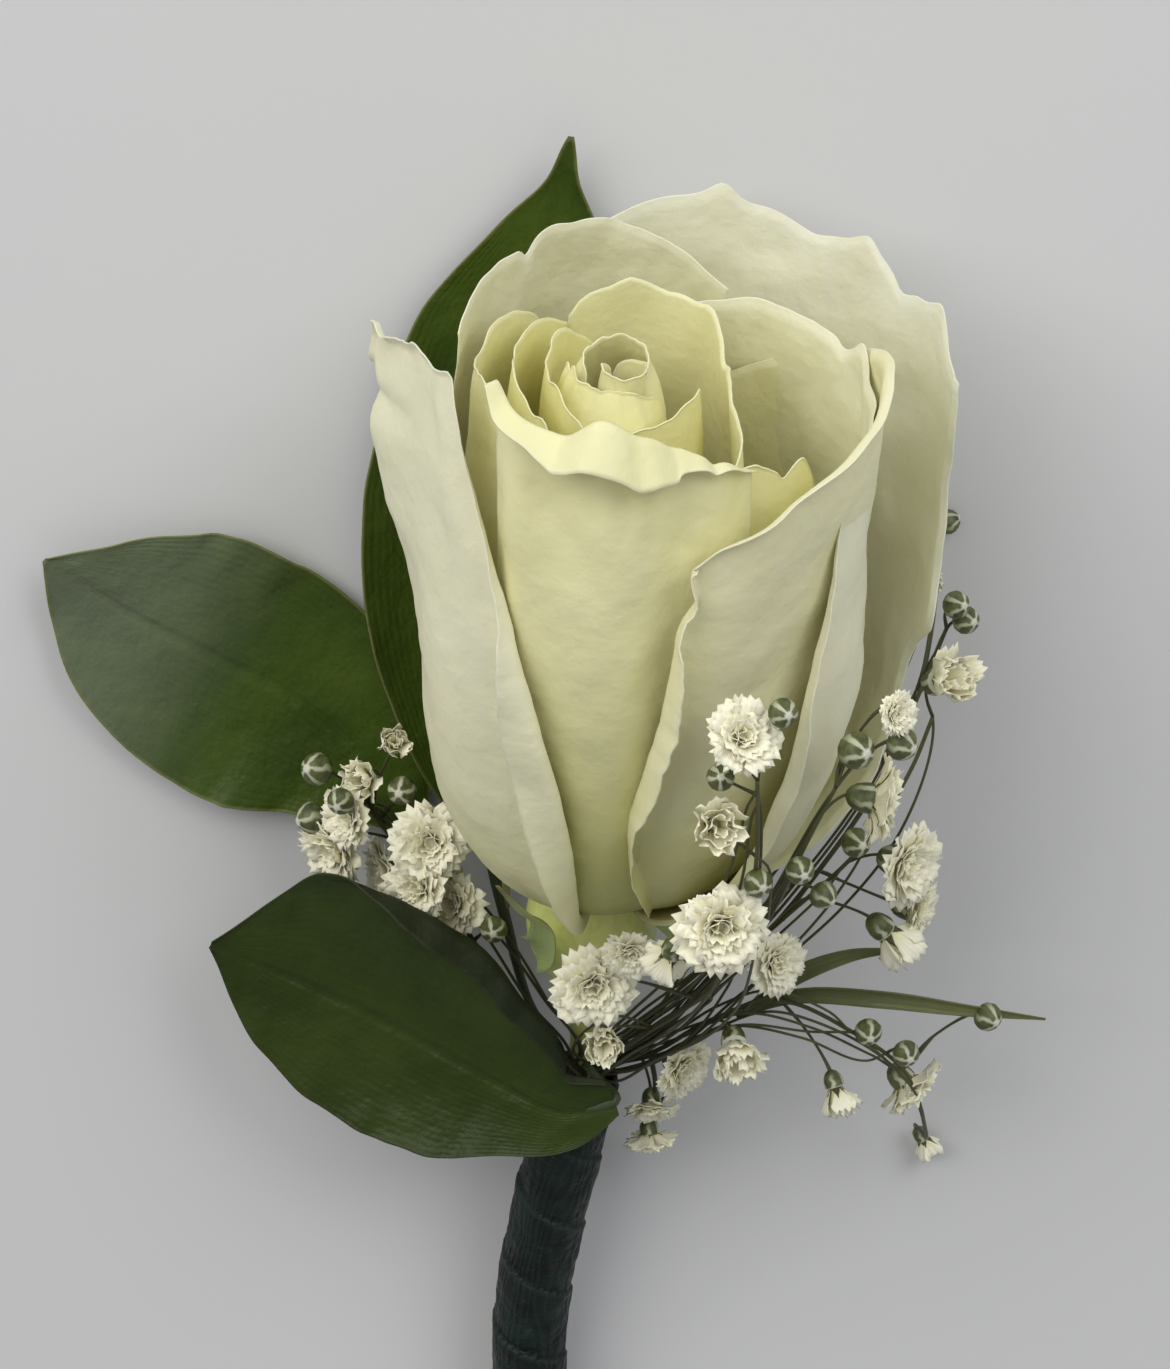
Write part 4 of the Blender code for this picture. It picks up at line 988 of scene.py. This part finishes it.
# %% Make the leaves
LEAF_THICK, LEAF_SIZE = 0.38, (110, 120)
STALK_RADII, STALK_SINK = [0.38, 0.38, 0.42, 0.6, 0.5], 0.6
for seed, (name, leaf) in enumerate(LEAVES.items()):
    pile = Pile()
    add_blade(pile, leaf_grid(leaf, *LEAF_SIZE, 50 + 9 * seed)[:, ::-1], LEAF_THICK)
    # the left leaf's tip takes the grey-green dust and painted sheen
    if name == "leaf_left":
        pile.shade_tip(0.45, 0.8)
    under = [(x, y, z - STALK_SINK) for x, y, z in leaf["spine"][:2]]
    line = stem_line(in_the_tape(leaf["seat"], WISP_CIRCLE, 1.0), leaf["stalk"] + under, 26)
    add_stem(pile, line, along(STALK_RADII, even(len(line))), 10, 1)
    # the front leaf takes the finish with painted shade
    finish = LEAF_SHADE if name == "leaf_front" else LEAF
    pile.make(name + "_blade", [finish, STALK], name, "broad_leaf")

# %% [markdown]
# ## Baby's breath
# Each spray is a thin branching stem.  Every floret is double: rings of small
# wedge-shaped petals with ruffled, notched tips, in a green striped cup.  Some are
# still half-open bells, and the smallest are round buds, striped green and white.


# %% Baby's breath finishes
def make_floret_white():
    mat, tree, shader = new_finish("floret_white", 0.55)
    lines, thin = veins(tree, 7.0, 0.12, 2.0)
    height = span(tree, tissue_marks(tree)["height"], 0.05, 0.6)
    colour = blend(tree, height, (0.82, 0.78, 0.44), (0.96, 0.93, 0.73))
    join(tree, blend(tree, times(tree, thin, 0.16), colour, (0.55, 0.58, 0.42)), shader["Base Color"])
    bump(tree, shader, 0.5, (lines, 0.03))
    return mat


def make_calyx():
    mat, tree, shader = new_finish("calyx_striped", 0.5)
    height = tissue_marks(tree)["height"]
    lines, _ = veins(tree, 5.0, 0.16, 1.0)
    white = times(tree, span(tree, lines, 0.45, 0.95), span(tree, height, 0.15, 0.75))
    green = blend(tree, mottle(tree, 0.8), (0.050, 0.062, 0.018), (0.12, 0.14, 0.045))
    colour = blend(tree, white, green, (0.50, 0.51, 0.35))
    join(tree, blend(tree, span(tree, height, 0.88, 1.0), colour, (0.72, 0.70, 0.58)), shader["Base Color"])
    bump(tree, shader, 0.6, (lines, 0.06))
    return mat


FLORET = make_floret_white()
CALYX = make_calyx()
SPRAY_STEM = make_waxy_green("spray_stem", (0.105, 0.105, 0.034), (0.048, 0.050, 0.018), 0.55)
NARROW_LEAF = make_waxy_green("narrow_leaf", (0.17, 0.18, 0.06), (0.09, 0.11, 0.03), 0.5)
print("finishes", FLORET.name, CALYX.name, SPRAY_STEM.name, NARROW_LEAF.name)

# %% [markdown]
# A spray has a few main stems.  A head is given as (x, y, z, size, kind), and a
# sixth entry turns it another way than the spray's own `face`.

# %% The sprays' keys
SPRIGS = {
    "sprig_left": dict(seat=122, face=(-0.25, -0.15, 0.8), stems=[
        [(-3, 0, 13.2), (-8, 6, 12.4), (-12.5, 11.5, 11), (-17, 16.5, 9.6), (-20.5, 19.5, 9)]],
        heads=[(-21, 22.5, 10.5, 2.7, "bell"), (-22.3, 19, 12, 3.1, "open"),
               (-23.6, 14.4, 10, 3.8, "open"), (-14, 18.4, 14.6, 3.8, "open"),
               (-18.6, 12, 8.4, 3.3, "open"), (-15, 13.8, 15, 3.5, "open"),
               (-11.6, 11.6, 13, 3.5, "open"), (-25.6, 23, 10.4, 1.7, "bud"),
               (-18.4, 26, 9.6, 2.1, "bell"), (-22.8, 21.6, 14.4, 1.4, "bud"),
               (-25.8, 17.4, 9.4, 1.7, "bud"), (-17.2, 22.6, 12.6, 1.5, "bud"),
               (-7.2, 10.6, 15.6, 1.4, "bud")]),
    "sprig_front": dict(seat=58, face=(0.55, -0.2, 0.8), stems=[
        [(7.2, 0.6, 15.8), (9.8, 4.6, 19), (12.8, 9.4, 22.8), (14.6, 15.8, 29), (15.6, 24.6, 37.2),
         (15.4, 35.2, 44.8), (14.6, 42.4, 47.8)],
        [(12.6, 9, 22.6), (16, 16, 27.4), (18.4, 25, 33.8), (20, 34, 40), (21.6, 40.6, 43.4)]],
        heads=[(13, 47.2, 49.8, 3.3, "open"), (11.6, 37.4, 46.8, 3, "bell"),
               (13.2, 25.6, 42.6, 4.2, "open"), (9.2, 21.4, 39.8, 3.0, "bell", (-0.1, -0.7, -0.6)),
               (4.2, 4.2, 23.8, 2.8, "bell"), (2.8, 12, 29, 3.8, "open"), (5.7, 16.6, 30.6, 2.5, "open"),
               (16, 50, 50.6, 1.4, "bud"), (11.4, 42.6, 48.4, 1.3, "bud"),
               (23, 44.8, 44.6, 1.8, "bud"), (19.6, 31.6, 41.6, 1.4, "bud"),
               (16, 30.6, 43, 1.4, "bud"), (22.2, 27.4, 37, 1.4, "bud"),
               (27, 45, 42.6, 1.6, "bud"), (26, 48.4, 44, 2.1, "open"),
               (26.2, 37.6, 38, 3.7, "open", (0.9, -0.1, -0.1))]),
    "sprig_side": dict(seat=27, face=(0.6, -0.1, 0.6), stems=[
        [(8.6, -0.8, 13.6), (13.6, 8, 17), (19.6, 17, 20.4), (26, 26, 22), (29.6, 34, 21.6),
         (31, 39, 20.6)],
        [(19.6, 17, 20.4), (27, 30, 17), (30, 39, 14.6), (31.6, 45.6, 15)],
        [(30, 39, 14.6), (30.8, 43.5, 8), (31, 48.6, 2.6)]],
        heads=[(30.4, 25.6, 24.6, 4, "open"), (29.6, 17.6, 22.6, 3.3, "bell", (0.6, -0.55, -0.2)),
               (32.4, 18.4, 18.4, 3.3, "open"), (31.4, 43.4, 22.4, 3.3, "bell"),
               (32, 49.4, 18.6, 1.4, "bud"), (33.2, 47.4, 17, 1.4, "bud"),
               (31.6, 51.2, 1.2, 1.3, "bud"), (30.4, 46.4, 3, 1.9, "open"),
               (25.2, 28.2, 26.4, 1.5, "bud"), (19.6, 13.8, 23.4, 2.9, "open")]),
    "sprig_low": dict(seat=-5, face=(0.2, -0.45, 0.6), stems=[
        [(9, -2.8, 11.2), (14.4, 2.6, 13.6), (21, 7, 17), (28, 4.6, 17.4), (33, 0.6, 15.6),
         (35.6, -5, 13), (36.8, -9.6, 9.6)],
        [(9, -2.8, 11.2), (9.8, -6, 10.8), (10, -10.4, 9.6)]],
        heads=[(16.8, 2.6, 19.6, 3.3, "bell"),
               (12.4, -3.2, 13.6, 3.1, "open"), (27, -1.6, 18, 2.6, "bell"),
               (34.4, -3, 12.6, 3.4, "open"), (37.4, -14, 1.7, 2.1, "bell"),
               (9.8, -9, 11.2, 2.6, "open"), (10, -13.4, 8.8, 2.6, "open"),
               (29, 6.4, 20.6, 1.4, "bud"), (33, 3.6, 18.6, 1.4, "bud"),
               (40.6, 6.6, 15, 1.5, "bud")],
        blades=[[(16.6, 4, 14.6), (22, 7.8, 17), (30, 8.4, 17), (38.4, 7.4, 15.4), (46.2, 6.1, 13)],
                [(17.6, 4.8, 15.4), (21.6, 10.6, 18.4), (26.4, 13.8, 19.6), (31.4, 14.4, 18.6)]]),
}


# %% One petal of a floret
FLORET_THICK = 0.12
NOTCH, TOOTH = (-0.02, 0.08), (-0.15, -0.04)  # how far the fringe is cut, as shares of the length


def add_floret_petal(pile, root, axis, outward, length, width, lean, back, ruffle, draw, sepal=False):
    rows, cols = 6, 9
    t = even(rows)
    ang = np.radians(lean * (0.45 + 0.55 * t) + back * t**3)
    way = np.cos(ang)[:, None] * axis + np.sin(ang)[:, None] * outward
    line = root + np.cumsum(way, 0) * length / rows
    side = unit(np.cross(axis, outward))
    normal = unit(np.cross(way, side))
    s = np.linspace(-1, 1, cols)
    half = width / 2 * (1.02 - ease(t, 0.35, 1.0) if sepal else 0.16 + 0.84 * ease(t, 0.0, 0.85))
    wave = ruffle * length * np.sin(4.4 * s[None, :] + draw.uniform(*PHASES)) * (t**2)[:, None]
    wave = wave + 0.16 * half[:, None] * s[None, :] ** 2 * draw.choice((-1, 1, 1))
    teeth = np.array([draw.uniform(*(NOTCH if k % 2 else TOOTH)) for k in range(cols)])
    fringe = length * (teeth - 0.14 * s**4)[None, :] * ease(t, 0.6, 1.0)[:, None]
    grid = (line[:, None] + half[:, None, None] * s[None, :, None] * side
            + wave[..., None] * normal[:, None] + fringe[..., None] * way[:, None])
    add_blade(pile, grid, FLORET_THICK, 2 if sepal else 0)

# %% The shapes of a head: profiles as (height, radius) for a size of one
CUP = [(0.0, 0.25), (0.12, 0.55), (0.32, 0.80), (0.60, 0.92), (0.85, 0.95), (1.0, 0.9)]
BUD = [(0.0, 0.22), (0.12, 0.55), (0.35, 0.90), (0.62, 1.0), (0.9, 0.92),
       (1.15, 0.7), (1.32, 0.42), (1.42, 0.15)]
# rings of petals: how many, lean from the axis, length, width, backward bend
RINGS = {
    "open": [(7, 84, 1.04, 0.9, 16), (7, 70, 1.0, 0.85, 8), (7, 56, 0.92, 0.76, 2),
             (6, 42, 0.82, 0.68, -4), (6, 28, 0.70, 0.55, -8), (4, 12, 0.58, 0.45, -10)],
    "bell": [(5, 52, 1.3, 0.85, -50), (5, 40, 1.3, 0.75, -44), (5, 20, 1.2, 0.55, -20)],
}
SEPAL_RINGS = {"open": (5, 80, 0.55, 0.24, -10), "bell": (5, 58, 0.8, 0.26, -50)}
print("petals of an open head", sum(ring[0] for ring in RINGS["open"]))


# %% One head of a spray
def add_head(pile, centre, axis, size, kind, draw):
    side = unit(np.cross(axis, [0.3, 0.2, 1.0]))
    lift = np.cross(axis, side)

    def outward(a):
        return math.cos(a) * side + math.sin(a) * lift

    if kind == "bud":
        profile = [(h * size * 1.1, r * size * 0.85) for h, r in BUD]
        add_turned(pile, centre - axis * size * 0.8, (side, lift, axis), profile, 14, 1)
        return
    back = centre - axis * size * 0.35
    deep = size * 0.6
    profile = [(h * deep, r * size * 0.36) for h, r in CUP]
    add_turned(pile, back - axis * deep * 0.75, (side, lift, axis), profile, 12, 1)
    count, lean, reach, width, bend = SEPAL_RINGS[kind]
    for j in range(count):
        way = outward(2 * math.pi * (j + draw.uniform(-0.1, 0.1)) / count)
        add_floret_petal(pile, back - axis * 0.16 * size, axis, way, size * reach, size * width,
                         lean, bend, 0.02, draw, sepal=True)
    for count, lean, reach, width, bend in RINGS[kind]:
        start = draw.uniform(*PHASES)
        for j in range(count):
            way = outward(start + 2 * math.pi * (j + draw.uniform(-0.16, 0.16)) / count)
            add_floret_petal(pile, back - axis * 0.1 * size + 0.06 * size * way, axis, way,
                             size * reach * draw.uniform(0.88, 1.08), size * width * draw.uniform(0.85, 1.1),
                             lean + draw.uniform(-8, 8), bend * draw.uniform(0.2, 1.5),
                             draw.uniform(0.03, 0.09), draw)

# %% Make the sprays
MAIN, PEDICEL, BRANCH = [0.27, 0.23, 0.19], [0.18, 0.15, 0.15, 0.27], [0.17, 0.15, 0.13]  # stem radii
BRANCH_SPREAD = np.array([3.2, 2.8, 1.6])  # how far a branch may stand off its main stem
HEAD_SIZE = 1.12
BLADE_WIDTHS = [0.4, 0.8, 0.9, 0.6, 0.1]


def round_stem(pile, line, radii, sides):
    add_stem(pile, line, along(radii, even(len(line))), sides)


def add_main_stems(stems, sprig, inside):
    """Returns each stem as a run of points from the tape to its own end."""
    runs = []
    for pts in sprig["stems"]:
        n = 10 * len(pts)
        line = curve(pts, even(n)) if runs else stem_line(inside, pts, n)
        round_stem(stems, line, MAIN, 8)
        if not runs:
            runs.append(line[IN_TAPE:])
            continue
        away = [np.linalg.norm(run - line[0], axis=1) for run in runs]
        near = min(range(len(runs)), key=lambda j: away[j].min())
        runs.append(np.concatenate([runs[near][:away[near].argmin()], line]))
    return runs


def branch_point(runs, start, c, size):
    """The run and its point nearest to a head, but nearer the tape than the head."""
    reach = np.linalg.norm(c - start)
    walks = []
    for run in runs:
        short = run[np.linalg.norm(run - start, axis=1) < max(reach - size, 1.0)]
        k = np.linalg.norm(short - c, axis=1).argmin() if len(short) else 0
        walks.append((np.linalg.norm(run[k] - c), k, run))
    return min(walks, key=lambda w: w[0])[1:]


def make_spray(name, sprig, draw):
    stems, heads = Pile(), Pile()
    inside = in_the_tape(sprig["seat"], WISP_CIRCLE, 1.0)
    start = inside[-1]
    runs = add_main_stems(stems, sprig, inside)
    for x, y, z, size, kind, *facing in sprig["heads"]:
        c = np.array([x, y, z], float)
        size *= HEAD_SIZE
        k, run = branch_point(runs, start, c, size)
        root = run[k]
        axis = unit(0.7 * unit(c - root) + sprig["face"] + [draw.uniform(-0.25, 0.25) for _ in "xyz"])
        if facing:
            axis = unit(np.array(facing[0], float))
        foot = c - axis * size * (0.8 if kind != "bud" else 0.7)
        mid = (root + foot) / 2 - axis * 0.12 * np.linalg.norm(foot - root)
        round_stem(stems, curve([root, mid, foot, c - axis * size * 0.3], even(14)), PEDICEL, 7)
        add_head(heads, c, axis, size, kind, draw)
        walk = run[:k:9]
        drift = np.array([draw.uniform(-1, 1) for _ in "xyz"]) * BRANCH_SPREAD
        swing = np.sin(np.linspace(0, math.pi, len(walk) + 2))[1:-1]
        path = [inside[-2], start] + [q + drift * w for q, w in zip(walk, swing)] + [root, mid]
        round_stem(stems, curve(path, even(8 * len(path))), BRANCH, 6)
    for pts in sprig.get("blades", []):
        spine = curve(pts, even(40))
        _, side, lift = frames(spine)
        add_blade(stems, strap(spine, side, lift, BLADE_WIDTHS)[:, ::-1], STRAP_THICK, 1)
    stems.make(name + "_stems", [SPRAY_STEM, NARROW_LEAF], name, "babys_breath")
    heads.make(name + "_florets", [FLORET, CALYX, SPRAY_STEM], name, "babys_breath")


draw = random.Random(7)
for name, sprig in SPRIGS.items():
    make_spray(name, sprig, draw)

# %% [markdown]
# ## Floral tape
# Waxed crepe tape, stretched as it is wound, so each turn stands a little over the
# last, and the surface is finely crinkled.


# %% Tape finish
def make_tape_finish():
    mat, tree, shader = new_finish("green_tape", 0.55, Specular_IOR_Level=0.25)
    lines, thin = veins(tree, 26.0, 0.35, 2.0)
    colour = blend(tree, mottle(tree, 3.0), (0.0015, 0.005, 0.0035), (0.007, 0.018, 0.013))
    colour = blend(tree, times(tree, thin, 0.3), colour, (0.018, 0.034, 0.027))
    colour = blend(tree, times(tree, tissue_marks(tree)["tone"], 0.5), colour, (0.03, 0.05, 0.04))
    join(tree, colour, shader["Base Color"])
    join(tree, maths(tree, "MULTIPLY_ADD", mottle(tree, 1.5), 0.25, 0.35), shader["Roughness"])
    bump(tree, shader, 0.8, (lines, 0.10), (mottle(tree, 1.0, 0.2, 0.8), 0.25), (mottle(tree, 0.4), 0.08))
    return mat


TAPE = make_tape_finish()
print("finish", TAPE.name)

# %% Make the tape
TAPE_BORE, TAPE_OUTER, TAPE_STEP, TAPE_TURN = 3.15, 3.6, 0.25, 8.5  # millimetres
rings, sides = 190, 96
t = even(rings)
mid = handle_point(t)
_, side, lift = frames(mid)
ang = around(sides)
turn = (t[:, None] * walked(mid)[-1] / TAPE_TURN - ang.T / (2 * math.pi)) % 1.0
step = ease(turn, 0.0, 0.06) * turn
crinkle = 0.10 * wobble(ang.T * 6, 3) * wobble(t * 30, 4)[:, None]
crinkle = crinkle + 0.06 * wobble(t[:, None] * 90 + 5 * np.sin(ang.T), 5)
radius = TAPE_OUTER + TAPE_STEP * step + crinkle
way = np.cos(ang) * side[:, None] + np.sin(ang) * lift[:, None]
outer = mid[:, None] + radius[..., None] * way
inner = (mid[:, None] + TAPE_BORE * way)[::-1]
wall = np.concatenate([outer, inner])
rows = len(wall)
faces = grid_faces(rows, sides, wrap=True, flip=True)
last = (rows - 1) * sides
for j in range(sides):
    k = (j + 1) % sides
    faces.append((k, j, last + j, last + k))
v = np.concatenate([t, t[::-1]])[:, None] + np.zeros((1, sides))
uv = np.stack([ang.T / (2 * math.pi) + 0 * v, v], -1)
marks = np.zeros((rows, sides, 4))
marks[..., 1] = v
marks[:rings, :, 3] = ease(turn, 0.9, 1.0)
pile = Pile()
pile.add(wall, faces, uv, marks.reshape(-1, 4))
pile.make("wound_tape", [TAPE], "tape_wrap", "floral_tape")

# %% [markdown]
# ## The table
# A plain pale table, so that nothing competes with the flower.

# %% Table
mat, tree, shader = new_finish("pale_table", 0.9)
shader["Base Color"].default_value = (0.66, 0.66, 0.665, 1)
HALF_TABLE = 3.0
corners = [(x * HALF_TABLE, y * HALF_TABLE, 0) for x, y in ((-1, -1), (1, -1), (1, 1), (-1, 1))]
mesh = bpy.data.meshes.new("table")
mesh.from_pydata(corners, [], [(0, 1, 2, 3)])
mesh.materials.append(mat)
table = placed("table", mesh)
